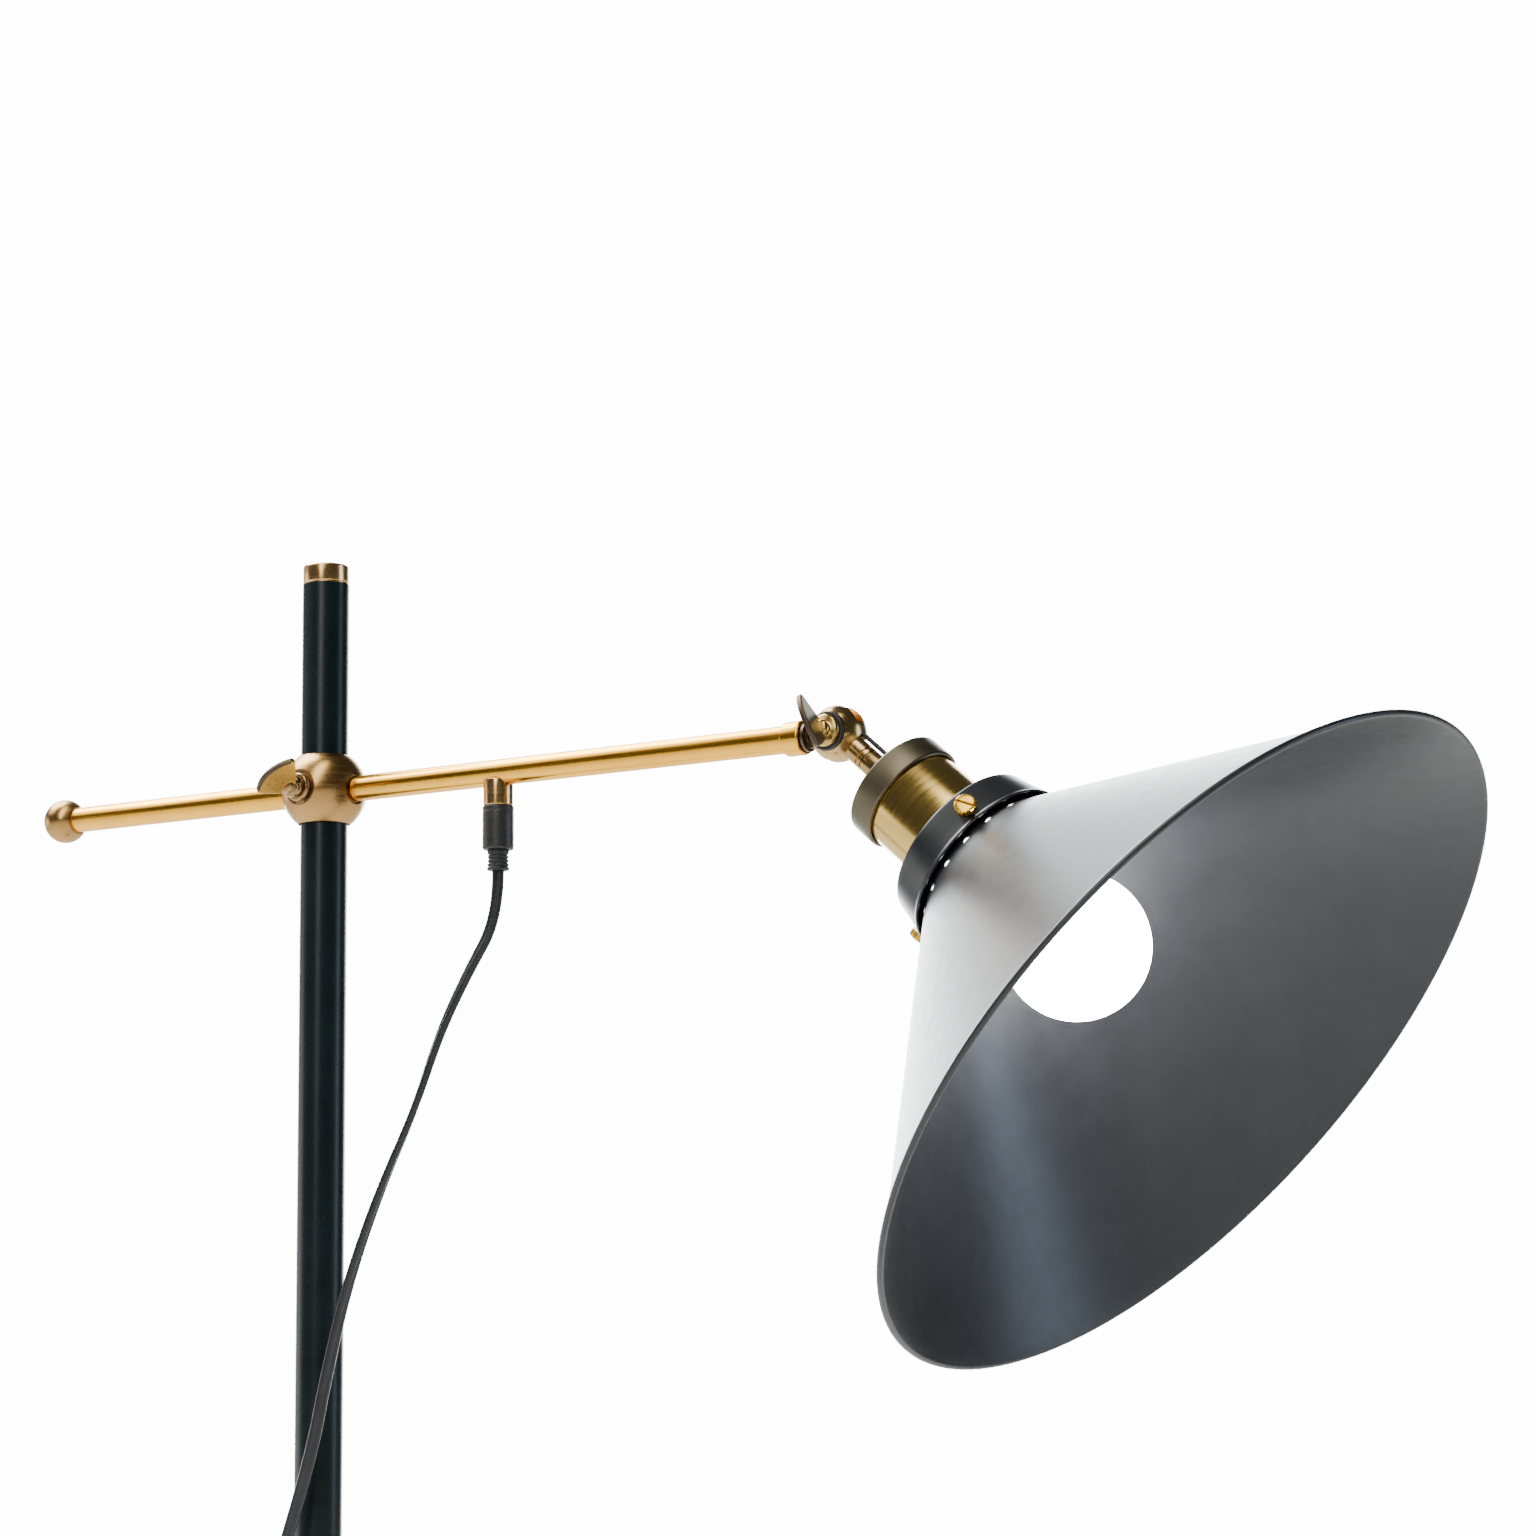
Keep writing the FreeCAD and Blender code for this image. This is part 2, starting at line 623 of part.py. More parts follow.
def gallery_ring():
    """Threaded ring that holds the gallery on the porcelain."""
    low = GALLERY_BACK + GALLERY_T
    return to_head(pipe(26.5, PORCELAIN_R, V(0, 0, low), V(0, 0, low + 4.4)))


def radial(radius, inner, outer, phi, s):
    """Rod pointing away from the head's axis; phi is measured from its upper side towards +Y."""
    angle = math.radians(phi)
    out = V(-math.cos(angle), math.sin(angle), 0)
    level = V(0, 0, s)
    return rod(radius, level + out * inner, level + out * outer)


def gallery_screws():
    """Three slotted brass screws that grip the shade's neck."""
    screws = []
    for phi in SCREW_PHI:
        shank = radial(1.95, SHADE_NECK_R, SCREW_HEAD_LOW, phi, SCREW_S)
        head = radial(SCREW_HEAD_R, SCREW_HEAD_LOW, SCREW_HEAD_TOP, phi, SCREW_S)
        angle = math.radians(phi)
        slot = box((SCREW_HEAD_TOP - SCREW_SLOT, -0.6, -6), (SCREW_HEAD_TOP + 1, 0.6, 6))
        slot.rotate(ORIGIN, Z_AXIS, 180 - math.degrees(angle))
        slot.translate(V(0, 0, SCREW_S))
        screws.append(shank.fuse(head).removeSplitter().cut(slot))
    return to_head(Part.makeCompound(screws))


def shade():
    """Straight cone of sheet steel with a neck, vent holes and a rolled rim."""
    lean = math.atan2(SHADE_RIM_R - RIM_BEAD_R - SHADE_NECK_R, SHADE_RIM_S - RIM_BEAD_R - SHADE_CONE_S)
    side = SHADE_T / math.cos(lean)
    rim_s = SHADE_RIM_S - RIM_BEAD_R
    rim_r = SHADE_RIM_R - RIM_BEAD_R
    body = turned([
        (SHADE_NECK_R, SHADE_NECK_BACK), (SHADE_NECK_R, SHADE_CONE_S), (rim_r, rim_s),
        (rim_r - side, rim_s), (SHADE_NECK_R - SHADE_T, SHADE_CONE_S + 0.5), (SHADE_NECK_R - SHADE_T, SHADE_NECK_BACK),
    ])
    bead = Part.makeTorus(rim_r, RIM_BEAD_R, V(0, 0, rim_s))
    body = body.fuse(bead).removeSplitter()
    vent_r = SHADE_NECK_R + (VENT_S - SHADE_CONE_S) * math.tan(lean)
    for k in range(VENTS):
        angle = 2 * math.pi * k / VENTS
        out = V(math.cos(angle) * math.cos(lean), math.sin(angle) * math.cos(lean), -math.sin(lean))
        centre = V(math.cos(angle) * vent_r, math.sin(angle) * vent_r, VENT_S)
        body = body.cut(rod(VENT_R, centre - out * 4, centre + out * 4))
    return to_head(body)


def bulb_cap():
    """Screw cap with rounded thread turns and a solder contact ring."""
    turns = 5
    pitch = 3.62
    front = CONTACT_S + 26.6
    profile = [(0, CONTACT_S + 3.4), (8.0, CONTACT_S + 3.4), (11.6, CONTACT_S + 5.0)]
    for k in range(turns):
        low = CONTACT_S + 5.0 + k * pitch
        profile += [(BULB_CAP_R, low + 1.1), (BULB_CAP_R, low + 1.9), (12.3, low + 3.0)]
    profile += [(BULB_CAP_R, front - 2.2), (BULB_CAP_R, front), (0, front)]
    return to_head(turned(profile))


def bulb_contact():
    """Black glass insulator with the centre contact."""
    profile = [
        (0, CONTACT_S), (4.6, CONTACT_S), (4.6, CONTACT_S + 0.6), (8.0, CONTACT_S + 2.4), (8.0, CONTACT_S + 3.4),
        (0, CONTACT_S + 3.4),
    ]
    return to_head(turned(profile))


def bulb_solid(inset):
    """Globe and neck as a solid, drawn smaller by the inset."""
    low = CONTACT_S + 26.6
    globe_r = BULB_R - inset
    neck_r = BULB_NECK_R - inset
    half = math.radians(128)
    end = V(globe_r * math.sin(half), 0, BULB_S + globe_r * math.cos(half))
    middle = V(globe_r * math.sin(half / 2), 0, BULB_S + globe_r * math.cos(half / 2))
    top = V(0, 0, BULB_S + globe_r)
    lean = V(-math.sin(half - math.pi / 2), 0, -math.cos(half - math.pi / 2))
    neck = Part.BezierCurve()
    neck.setPoles([end, end + lean * 12, V(neck_r, 0, low + 12), V(neck_r, 0, low)])
    edges = [
        Part.Arc(top, middle, end).toShape(), neck.toShape(),
        Part.LineSegment(V(neck_r, 0, low), V(0, 0, low)).toShape(), Part.LineSegment(V(0, 0, low), top).toShape(),
    ]
    return Part.Face(Part.Wire(edges)).revolve(ORIGIN, Z_AXIS, 360)


def bulb_glass():
    """Frosted globe of thin glass, open where the cap closes it."""
    return to_head(bulb_solid(0).cut(bulb_solid(BULB_GLASS_T)))


# ---------- mains lead, switch and plug ----------

def cord_coil():
    """Outer shape of the stored turns, lying on the floor."""
    x, y = COIL_CENTRE
    outer = COIL_MID_R + COIL_HALF_W
    inner = COIL_MID_R - COIL_HALF_W
    return pipe(outer, inner, V(x, y, 0), V(x, y, COIL_H))


def cord_tie():
    """Hook-and-loop band over the far side of the coil."""
    x, y = COIL_CENTRE
    far = x + COIL_MID_R
    half = COIL_HALF_W + 1.8
    band = box((far - half, y - 6, 0), (far + half, y + 6, COIL_H + 1.5))
    band = rounded(band, 1.2, lambda e: e.BoundBox.ZMin > COIL_H)
    return band.cut(cord_coil())


def switch_shell(low, high, end_round, top_round):
    x0, x1 = SWITCH_X
    shell = box((x0, SWITCH_Y - SWITCH_HALF_W, low), (x1, SWITCH_Y + SWITCH_HALF_W, high))
    shell = rounded(shell, end_round, lambda e: e.BoundBox.ZLength > (high - low) / 2)
    if top_round:
        shell = rounded(shell, top_round, lambda e: e.BoundBox.ZMin > high - 0.01)
    return shell


def switch_base():
    x0, x1 = SWITCH_X
    half_w = SWITCH_HALF_W - SWITCH_WALL - 1.6
    tray = switch_shell(0, SWITCH_SPLIT, SWITCH_ROUND, 0)
    low = (x0 + SWITCH_END_WALL, SWITCH_Y - half_w, SWITCH_WALL)
    return tray.cut(box(low, (x1 - SWITCH_END_WALL, SWITCH_Y + half_w, SWITCH_SPLIT + 1)))


def switch_cover():
    x0, x1 = SWITCH_X
    middle = (x0 + x1) / 2
    half_w = SWITCH_HALF_W - SWITCH_WALL - 1.6
    lid = switch_shell(SWITCH_SPLIT, SWITCH_TOP, SWITCH_ROUND, 3)
    low = (x0 + SWITCH_END_WALL, SWITCH_Y - half_w, SWITCH_SPLIT - 1)
    hollow = box(low, (x1 - SWITCH_END_WALL, SWITCH_Y + half_w, SWITCH_TOP - SWITCH_WALL))
    return lid.cut(hollow).cut(up(BUTTON_R + GAP, SWITCH_TOP - 4, SWITCH_TOP + 1, middle, SWITCH_Y))


def switch_button():
    middle = sum(SWITCH_X) / 2
    cap = up(BUTTON_R, SWITCH_TOP - 4, BUTTON_TOP, middle, SWITCH_Y)
    cap = rounded(cap, 1.2, lambda e: circle_at(e, BUTTON_R, BUTTON_TOP))
    flange = up(BUTTON_R + 1.2, SWITCH_TOP - 4, SWITCH_TOP - 2.7, middle, SWITCH_Y)
    return cap.fuse(flange).removeSplitter()


def switch_block():
    """Contact block under the button."""
    middle = sum(SWITCH_X) / 2
    return box((middle - 10, SWITCH_Y - 8, 2.4), (middle + 10, SWITCH_Y + 8, 12.4))


def plug_relief():
    """Tapered boot of the plug."""
    x0, x1 = PLUG_RELIEF_X
    boot = Part.makeCone(3.4, 5.2, x0 - x1, V(x0, PLUG_Y, PLUG_Z), V(-1, 0, 0))
    return boot.cut(up(COIL_MID_R + COIL_HALF_W, 0, COIL_H, *COIL_CENTRE))


def plug_body():
    """Flat two-pin plug body, tapering to its boot."""
    x0, x1 = PLUG_BODY_X
    half_w = 17.6
    outline = [
        V(x0, -7, 0), V(x0 - 16, -half_w, 0), V(x1, -half_w, 0),
        V(x1, half_w, 0), V(x0 - 16, half_w, 0), V(x0, 7, 0),
    ]
    body = Part.Face(Part.makePolygon(outline + outline[:1])).extrude(V(0, 0, 2 * PLUG_Z))
    body = body.makeFillet(2.4, body.Edges)
    body.translate(V(0, PLUG_Y, 0))
    return body


def plug_pins():
    """Two round pins with insulated sleeves."""
    x0 = PLUG_BODY_X[1]
    pins = []
    for side in (-1, 1):
        y = PLUG_Y + side * PIN_SPACING / 2
        pin = rod(2.0, V(x0, y, PLUG_Z), V(x0 - PIN_LENGTH, y, PLUG_Z))
        pins.append(rounded(pin, 1.2, lambda e: abs(e.BoundBox.XMax - x0 + PIN_LENGTH) < 0.01))
    return Part.makeCompound(pins)


def cord_hanging():
    return swept(HANGING_ROUTE, "cord_hanging")


def cord_drop():
    return swept(DROP_ROUTE, "cord_drop")


def cord_tail():
    return swept(TAIL_ROUTE, "cord_tail")


PIECES = [
    base_plate, base_pad, base_washer, base_nut, base_rod, foot_insert, base_collar, lower_pole, joint_ring,
    joint_spigot, upper_pole, pole_cap, pole_bush, clamp_ball, ball_lip_ring, clamp_pad, clamp_wing_screw,
    clamp_wing_leaf, handle_rod, handle_knob, arm_tube, arm_ferrule, knuckle_tongue, cord_boss, cord_gland,
    strain_relief, arm_lead, knuckle_ball, friction_washers, tilt_washer, tilt_nut, tilt_wing_screw,
    tilt_wing_leaf, neck_nipple, head_lead, socket_cap, socket_shell, socket_insert,
    socket_thread, socket_contact, shade_gallery, gallery_ring, gallery_screws, shade, bulb_cap, bulb_contact,
    bulb_glass, cord_hanging, cord_drop, cord_tail, cord_coil, cord_tie, switch_base, switch_cover,
    switch_button, switch_block, plug_relief, plug_body, plug_pins,
]


def main():
    os.makedirs("parts", exist_ok=True)
    for piece in PIECES:
        shape = piece()
        if not shape.isValid() or shape.Volume <= 0:
            print("bad solid:", piece.__name__)
        shape.exportStep("parts/" + piece.__name__ + ".step")


main()
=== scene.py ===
import json
import math

import bmesh
import bpy
from mathutils import Matrix, Vector


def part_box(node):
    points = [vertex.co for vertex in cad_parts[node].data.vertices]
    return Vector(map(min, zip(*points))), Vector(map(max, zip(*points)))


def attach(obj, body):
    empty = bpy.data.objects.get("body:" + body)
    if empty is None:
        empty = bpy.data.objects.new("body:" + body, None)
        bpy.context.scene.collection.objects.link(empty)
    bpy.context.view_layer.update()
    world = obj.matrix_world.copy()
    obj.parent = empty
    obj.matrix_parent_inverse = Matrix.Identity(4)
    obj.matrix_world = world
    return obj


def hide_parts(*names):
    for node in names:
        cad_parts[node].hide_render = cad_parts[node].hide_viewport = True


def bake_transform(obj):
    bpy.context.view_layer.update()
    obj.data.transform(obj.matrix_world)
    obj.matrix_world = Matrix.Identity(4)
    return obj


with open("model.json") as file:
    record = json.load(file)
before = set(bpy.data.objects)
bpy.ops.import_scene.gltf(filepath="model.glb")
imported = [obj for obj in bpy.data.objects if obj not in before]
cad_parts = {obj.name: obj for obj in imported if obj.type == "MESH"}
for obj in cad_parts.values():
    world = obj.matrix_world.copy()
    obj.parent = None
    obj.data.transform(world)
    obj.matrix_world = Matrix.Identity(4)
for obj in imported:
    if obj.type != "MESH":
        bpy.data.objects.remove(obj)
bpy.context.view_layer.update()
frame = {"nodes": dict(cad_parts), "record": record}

# ---------------------------------------------------------------- places
MM = 0.001
JOINTS = {joint["name"]: joint for joint in frame["record"]["behaviour"]["joints"]}
BALL = Vector(JOINTS["arm_swivel"]["pos_m"])
TILT = Vector(JOINTS["head_tilt"]["pos_m"])
HEAD_DEG = 41.15                      # head axis below the horizontal

STAND = Matrix.Identity(4)
AT_BALL = Matrix.Translation(BALL)
AT_TILT = Matrix.Translation(TILT)
ALONG_X = Matrix.Rotation(math.radians(90), 4, "Y")
ALONG_FRONT = Matrix.Rotation(math.radians(90), 4, "X")      # local +Z to -Y
HEAD = AT_TILT @ Matrix.Rotation(math.radians(90 + HEAD_DEG), 4, "Y")


def make_camera():
    """Low camera on the wing screws' side, looking slightly up."""
    right = Vector((0.83911, 0.54391, -0.00786))
    up = Vector((0.09201, -0.12767, 0.98754))
    ahead = Vector((-0.53613, 0.82938, 0.15718))
    data = bpy.data.cameras.new("camera")
    data.sensor_width = 36
    data.lens = 98.44
    camera = bpy.data.objects.new("camera", data)
    bpy.context.scene.collection.objects.link(camera)
    matrix = Matrix((right, up, -ahead)).transposed().to_4x4()
    matrix.translation = BALL + Vector((1.1845, -1.4637, -0.2885))
    camera.matrix_world = matrix
    bpy.context.scene.camera = camera


# ---------------------------------------------------------------- shaders
def new_material(name, colour, rough, metal=0.0, **sockets):
    mat = bpy.data.materials.new(name)
    mat.use_nodes = True
    shader = mat.node_tree.nodes["Principled BSDF"]
    shader.inputs["Base Color"].default_value = (*colour, 1)
    shader.inputs["Roughness"].default_value = rough
    shader.inputs["Metallic"].default_value = metal
    for key, value in sockets.items():
        shader.inputs[key.replace("_", " ")].default_value = value
    return mat, mat.node_tree, shader


def clouds(tree, scale, detail=3.0, stretch=(1, 1, 1)):
    """Noise in the piece's own space; scale counts features per metre."""
    place = tree.nodes.new("ShaderNodeTexCoord")
    mapping = tree.nodes.new("ShaderNodeMapping")
    mapping.inputs["Scale"].default_value = stretch
    noise = tree.nodes.new("ShaderNodeTexNoise")
    noise.inputs["Scale"].default_value = scale
    noise.inputs["Detail"].default_value = detail
    tree.links.new(place.outputs["Object"], mapping.inputs["Vector"])
    tree.links.new(mapping.outputs["Vector"], noise.inputs["Vector"])
    return noise.outputs["Fac"]


def tint(tree, shader, factor, low, high, start=0.35, end=0.65):
    """Base colour that runs between two tones."""
    ramp = tree.nodes.new("ShaderNodeValToRGB")
    for stop, place, tone in zip(ramp.color_ramp.elements, (start, end), (low, high)):
        stop.position = place
        stop.color = (*tone, 1)
    tree.links.new(factor, ramp.inputs["Fac"])
    tree.links.new(ramp.outputs["Color"], shader.inputs["Base Color"])


def spread(tree, shader, factor, low, high, start=0.3, end=0.7, socket="Roughness"):
    """A shader value that runs between two numbers."""
    span = tree.nodes.new("ShaderNodeMapRange")
    for key, value in (("From Min", start), ("From Max", end), ("To Min", low), ("To Max", high)):
        span.inputs[key].default_value = value
    tree.links.new(factor, span.inputs["Value"])
    tree.links.new(span.outputs["Result"], shader.inputs[socket])


def bump(tree, shader, factor, distance, strength=1.0):
    relief = tree.nodes.new("ShaderNodeBump")
    relief.inputs["Distance"].default_value = distance
    relief.inputs["Strength"].default_value = strength
    tree.links.new(factor, relief.inputs["Height"])
    tree.links.new(relief.outputs["Normal"], shader.inputs["Normal"])


def brass(name, tone, rough, stretch=(1, 1, 1), wear=0.1, lines=900.0, depth=0.000006):
    """Lacquered brass: faint patina clouds, fine brushed lines and a varying polish."""
    mat, tree, shader = new_material(name, tone, rough, metal=1.0)
    low = [v * (1 - wear) for v in tone]
    high = [min(v * (1 + wear), 1.0) for v in tone]
    tint(tree, shader, clouds(tree, 40, 3), low, high)
    brushed = clouds(tree, lines, 2, stretch)
    spread(tree, shader, brushed, rough - 0.03, rough + 0.04)
    bump(tree, shader, brushed, depth, 0.3)
    return mat


def paint(name, low, high, rough, peel=1400.0, depth=0.000012, **sockets):
    """Satin powder coat: slight mottling and orange peel."""
    mat, tree, shader = new_material(name, low, rough, **sockets)
    tint(tree, shader, clouds(tree, 45, 4), low, high)
    skin = clouds(tree, peel, 3)
    spread(tree, shader, clouds(tree, 160, 5), rough - 0.02, rough + 0.03)
    bump(tree, shader, skin, depth, 0.4)
    return mat


def moulded(name, low, high, rough, grain=1500.0, depth=0.00004, **sockets):
    """Moulded plastic or rubber with a fine grain."""
    mat, tree, shader = new_material(name, low, rough, **sockets)
    tint(tree, shader, clouds(tree, 120, 3), low, high)
    skin = clouds(tree, grain, 2)
    spread(tree, shader, skin, rough - 0.05, rough + 0.1)
    bump(tree, shader, skin, depth, 0.6)
    return mat


def woven(name, low, high, pitch):
    """Felt or webbing: crossed threads under loose fibres."""
    mat, tree, shader = new_material(name, low, 0.92, Sheen_Weight=0.3)
    tint(tree, shader, clouds(tree, 1 / pitch, 6, (1, 1, 0.4)), low, high)
    bump(tree, shader, clouds(tree, 1.6 / pitch, 4, (1, 0.5, 1)), 0.0002, 0.8)
    return mat


def glowing(name):
    """Frosted lit bulb: warm white and a little mottled."""
    mat, tree, shader = new_material(name, (0.95, 0.94, 0.92), 0.55)
    shader.inputs["Emission Color"].default_value = (1.0, 0.955, 0.9, 1)
    spread(tree, shader, clouds(tree, 220, 5), GLOW * 0.82, GLOW, 0.35, 0.65, "Emission Strength")
    bump(tree, shader, clouds(tree, 900, 2), 0.00003)
    return mat


GLOW = 90.0                           # the bulb's emission strength
GOLD = (0.9, 0.46, 0.045)             # the arm's lacquered brass
M = {
    "arm": brass("arm_brass", GOLD, 0.22, (1, 1, 0.03), 0.06),
    "ball": brass("ball_brass", (0.42, 0.24, 0.08), 0.28, (0.06, 0.06, 1), 0.05, depth=0.000002),
    # Darker brass for the walls of the ball's dishes: painted shade in its hollows.
    "recess": brass("recess_brass", (0.3, 0.18, 0.08), 0.36, wear=0.15),
    "leaf": brass("leaf_brass", (0.72, 0.38, 0.065), 0.3, wear=0.06, depth=0.000002),
    "cap": brass("pole_cap_brass", (0.68, 0.42, 0.16), 0.22, (0.04, 0.04, 1)),
    "cup": brass("cup_brass", (0.78, 0.52, 0.14), 0.16, (0.03, 0.03, 1), 0.06),
    "knuckle": brass("knuckle_brass", (0.52, 0.335, 0.125), 0.22),
    # Dark brass for the knuckle's tongue: painted shade in the gap between the ferrule and the ball.
    "tongue_shade": brass("tongue_painted_shade", (0.12, 0.085, 0.05), 0.4, wear=0.2),
    # Dark brass for the tilt screw's leaf, darker than the clamp leaf: painted shade on it.
    "tilt_leaf_shade": brass("tilt_leaf_painted_shade", (0.24, 0.2, 0.12), 0.36, wear=0.12),
    # Dark bronze for the leaves' rims, also used for the painted shade strip along the clamp leaf's curved edge.
    "rim": brass("rim_bronze_and_edge_shade", (0.1, 0.07, 0.045), 0.42, wear=0.25),
    "hub": brass("hub_brass", (0.36, 0.225, 0.1), 0.24, wear=0.12),
    "nose": brass("nose_brass", (0.58, 0.37, 0.11), 0.22),
    "screw": brass("screw_brass", (0.74, 0.45, 0.05), 0.28, wear=0.15),
    "ring": brass("ring_bronze", (0.135, 0.115, 0.075), 0.4, (0.05, 0.05, 1)),
    "steel": brass("plain_steel", (0.5, 0.5, 0.51), 0.3, (1, 1, 0.1)),
    "tin": brass("lamp_cap_metal", (0.66, 0.66, 0.66), 0.25),
    "pole": paint("pole_paint", (0.004, 0.008, 0.0095), (0.006, 0.0115, 0.0135), 0.3, Specular_IOR_Level=0.22),
    "base": paint("base_paint", (0.01, 0.011, 0.012), (0.016, 0.017, 0.018), 0.45, 600, 0.00004),
    "gallery": paint("gallery_paint", (0.008, 0.01, 0.011), (0.013, 0.015, 0.017), 0.3, Specular_IOR_Level=0.3),
    "outer": paint("shade_outside", (0.012, 0.015, 0.018), (0.017, 0.02, 0.024), 0.3),
    "inner": paint("shade_inside", (0.0045, 0.0053, 0.0072), (0.0065, 0.0076, 0.01), 0.36, Specular_IOR_Level=0.5),
    "plastic": moulded("black_plastic", (0.012, 0.012, 0.013), (0.018, 0.018, 0.02), 0.4),
    "rubber": moulded("black_rubber", (0.01, 0.011, 0.012), (0.016, 0.017, 0.018), 0.5),
    "cord": moulded("cord_pvc", (0.008, 0.009, 0.011), (0.013, 0.014, 0.017), 0.34, 900),
    "nylon": moulded("black_nylon", (0.01, 0.01, 0.01), (0.02, 0.02, 0.02), 0.5),
    "fibre": moulded("dark_fibre", (0.02, 0.015, 0.012), (0.035, 0.026, 0.02), 0.6),
    "porcelain": moulded("porcelain", (0.72, 0.71, 0.66), (0.8, 0.79, 0.75), 0.14, 300, 0.00002),
    "felt": woven("black_felt", (0.012, 0.012, 0.012), (0.03, 0.03, 0.03), 0.0015),
    "web": woven("black_webbing", (0.012, 0.012, 0.013), (0.035, 0.035, 0.037), 0.001),
    "bulb": glowing("bulb_glow"),
}


# ---------------------------------------------------------------- mesh helpers
def shade(mesh, sharp):
    """Smooth shading, with hard edges where faces meet at more than sharp degrees."""
    mesh.shade_smooth()
    mesh.set_sharp_from_angle(angle=math.radians(sharp))


def new_object(name, bm, mats, sharp=None):
    """Turns a bmesh drawn in millimetres into an object, flat shaded if sharp isn't given."""
    bmesh.ops.scale(bm, vec=(MM, MM, MM), verts=bm.verts)
    mesh = bpy.data.meshes.new(name)
    bm.to_mesh(mesh)
    bm.free()
    if sharp:
        shade(mesh, sharp)
    for mat in mats:
        mesh.materials.append(mat)
    made = bpy.data.objects.new(name, mesh)
    bpy.context.scene.collection.objects.link(made)
    return made


def finish_piece(name, bm, mats, place, body, replaces=(), sharp=32):
    """Turns a bmesh drawn in millimetres into a piece that rides on a body."""
    bmesh.ops.recalc_face_normals(bm, faces=bm.faces)
    piece = new_object(name, bm, mats, sharp)
    piece.matrix_world = place
    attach(piece, body)
    if replaces:
        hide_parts(*replaces)
    return piece


def softened(profile, radius, closed):
    """Rounds the corners of a profile of (radius, height) points."""
    points = [Vector((r, z)) for r, z in profile]
    count = len(points)
    out = []
    for i, point in enumerate(points):
        if not closed and i in (0, count - 1):
            out.append(point)
            continue
        before = points[i - 1] - point
        after = points[(i + 1) % count] - point
        cut = min(radius, 0.45 * before.length, 0.45 * after.length)
        if before.angle(after) > math.radians(165) or cut < 1e-4:
            out.append(point)
            continue
        first = point + before.normalized() * cut
        last = point + after.normalized() * cut
        for k in range(4):
            t = k / 3
            out.append(first * (1 - t) ** 2 + point * 2 * t * (1 - t) + last * t ** 2)
    return [(p.x, p.y) for p in out]


def spin(bm, profile, segments, closed=False, index=0):
    """Adds a surface of revolution about local Z."""
    rings = []
    for radius, height in profile:
        if radius < 1e-5:
            rings.append([bm.verts.new((0, 0, height))] * segments)
            continue
        ring = []
        for k in range(segments):
            angle = 2 * math.pi * k / segments
            ring.append(bm.verts.new((radius * math.cos(angle), radius * math.sin(angle), height)))
        rings.append(ring)
    pairs = list(zip(rings, rings[1:]))
    if closed:
        pairs.append((rings[-1], rings[0]))
    for low, high in pairs:
        for k in range(segments):
            corners = [low[k], low[(k + 1) % segments], high[(k + 1) % segments], high[k]]
            unique = list(dict.fromkeys(corners))
            if len(unique) > 2:
                bm.faces.new(unique).material_index = index


def lathe(name, profile, mat, place, body, replaces=(), soft=0.25, segments=96, ring=False, sharp=32):
    """Turned piece; a ring's profile goes all the way round its section."""
    bm = bmesh.new()
    spin(bm, softened(profile, soft, ring), segments, ring)
    return finish_piece(name, bm, [mat], place, body, replaces, sharp)


def tube_ring(outer, inner, low, high):
    """Section of a plain tube, for a ring."""
    return [(outer, low), (outer, high), (inner, high), (inner, low)]


def carve(piece, bm, place):
    """Cuts a tool drawn in millimetres out of a finished piece; the cut takes the tool's own slot."""
    bmesh.ops.recalc_face_normals(bm, faces=bm.faces)
    tool = new_object("tool", bm, piece.data.materials)
    tool.matrix_world = place
    cut = piece.modifiers.new("cut", "BOOLEAN")
    cut.object = tool
    cut.solver = "EXACT"
    bpy.context.view_layer.update()
    graph = bpy.context.evaluated_depsgraph_get()
    result = bpy.data.meshes.new_from_object(piece.evaluated_get(graph))
    piece.modifiers.clear()
    piece.data = result
    bpy.data.objects.remove(tool)


# ---------------------------------------------------------------- mains lead
LEAD_W = 0.0056
HANGING = [
    (0.0975, 0, 1.3525), (0.0975, 0, 1.332), (0.084, -0.004, 1.308), (0.071, -0.007, 1.282),
    (0.060, -0.0095, 1.250), (0.043, -0.013, 1.214), (0.028, -0.016, 1.174), (0.0185, -0.0185, 1.134),
    (0.012, -0.020, 1.100), (0.0015, -0.021, 1.070),
]
DROP = [
    (0.0015, -0.021, 1.070), (-0.009, -0.022, 1.040), (-0.021, -0.008, 1.003), (-0.018, 0.012, 0.966),
    (-0.004, 0.022, 0.929), (0.012, 0.020, 0.889), (0.022, 0.010, 0.842), (0.028, 0.001, 0.782),
    (0.034, -0.004, 0.710), (0.039, -0.005, 0.632), (0.042, -0.003, 0.553), (0.043, 0.001, 0.474),
    (0.0425, 0.005, 0.395), (0.042, 0.0085, 0.316), (0.043, 0.011, 0.238), (0.048, 0.012, 0.166),
    (0.060, 0.0115, 0.104), (0.080, 0.010, 0.056), (0.108, 0.008, 0.0275), (0.138, 0.005, 0.0285),
    (0.166, 0.003, 0.023), (0.192, 0.001, 0.006), (0.214, 0.001, 0.006),
]
TAIL = [(0.288, 0.001, 0.006), (0.303, 0.001, 0.006)]
COIL_X, COIL_Y = 0.340, 0.0376
TURN_R = (0.0366, 0.031, 0.0254)
TURN_Z = (0.0029, 0.0087)
PLUG_IN = [(0.331, 0.0742, 0.0078), (0.322, 0.0742, 0.0069)]


def smooth_step(t):
    t = min(max(t, 0.0), 1.0)
    return t * t * (3 - 2 * t)


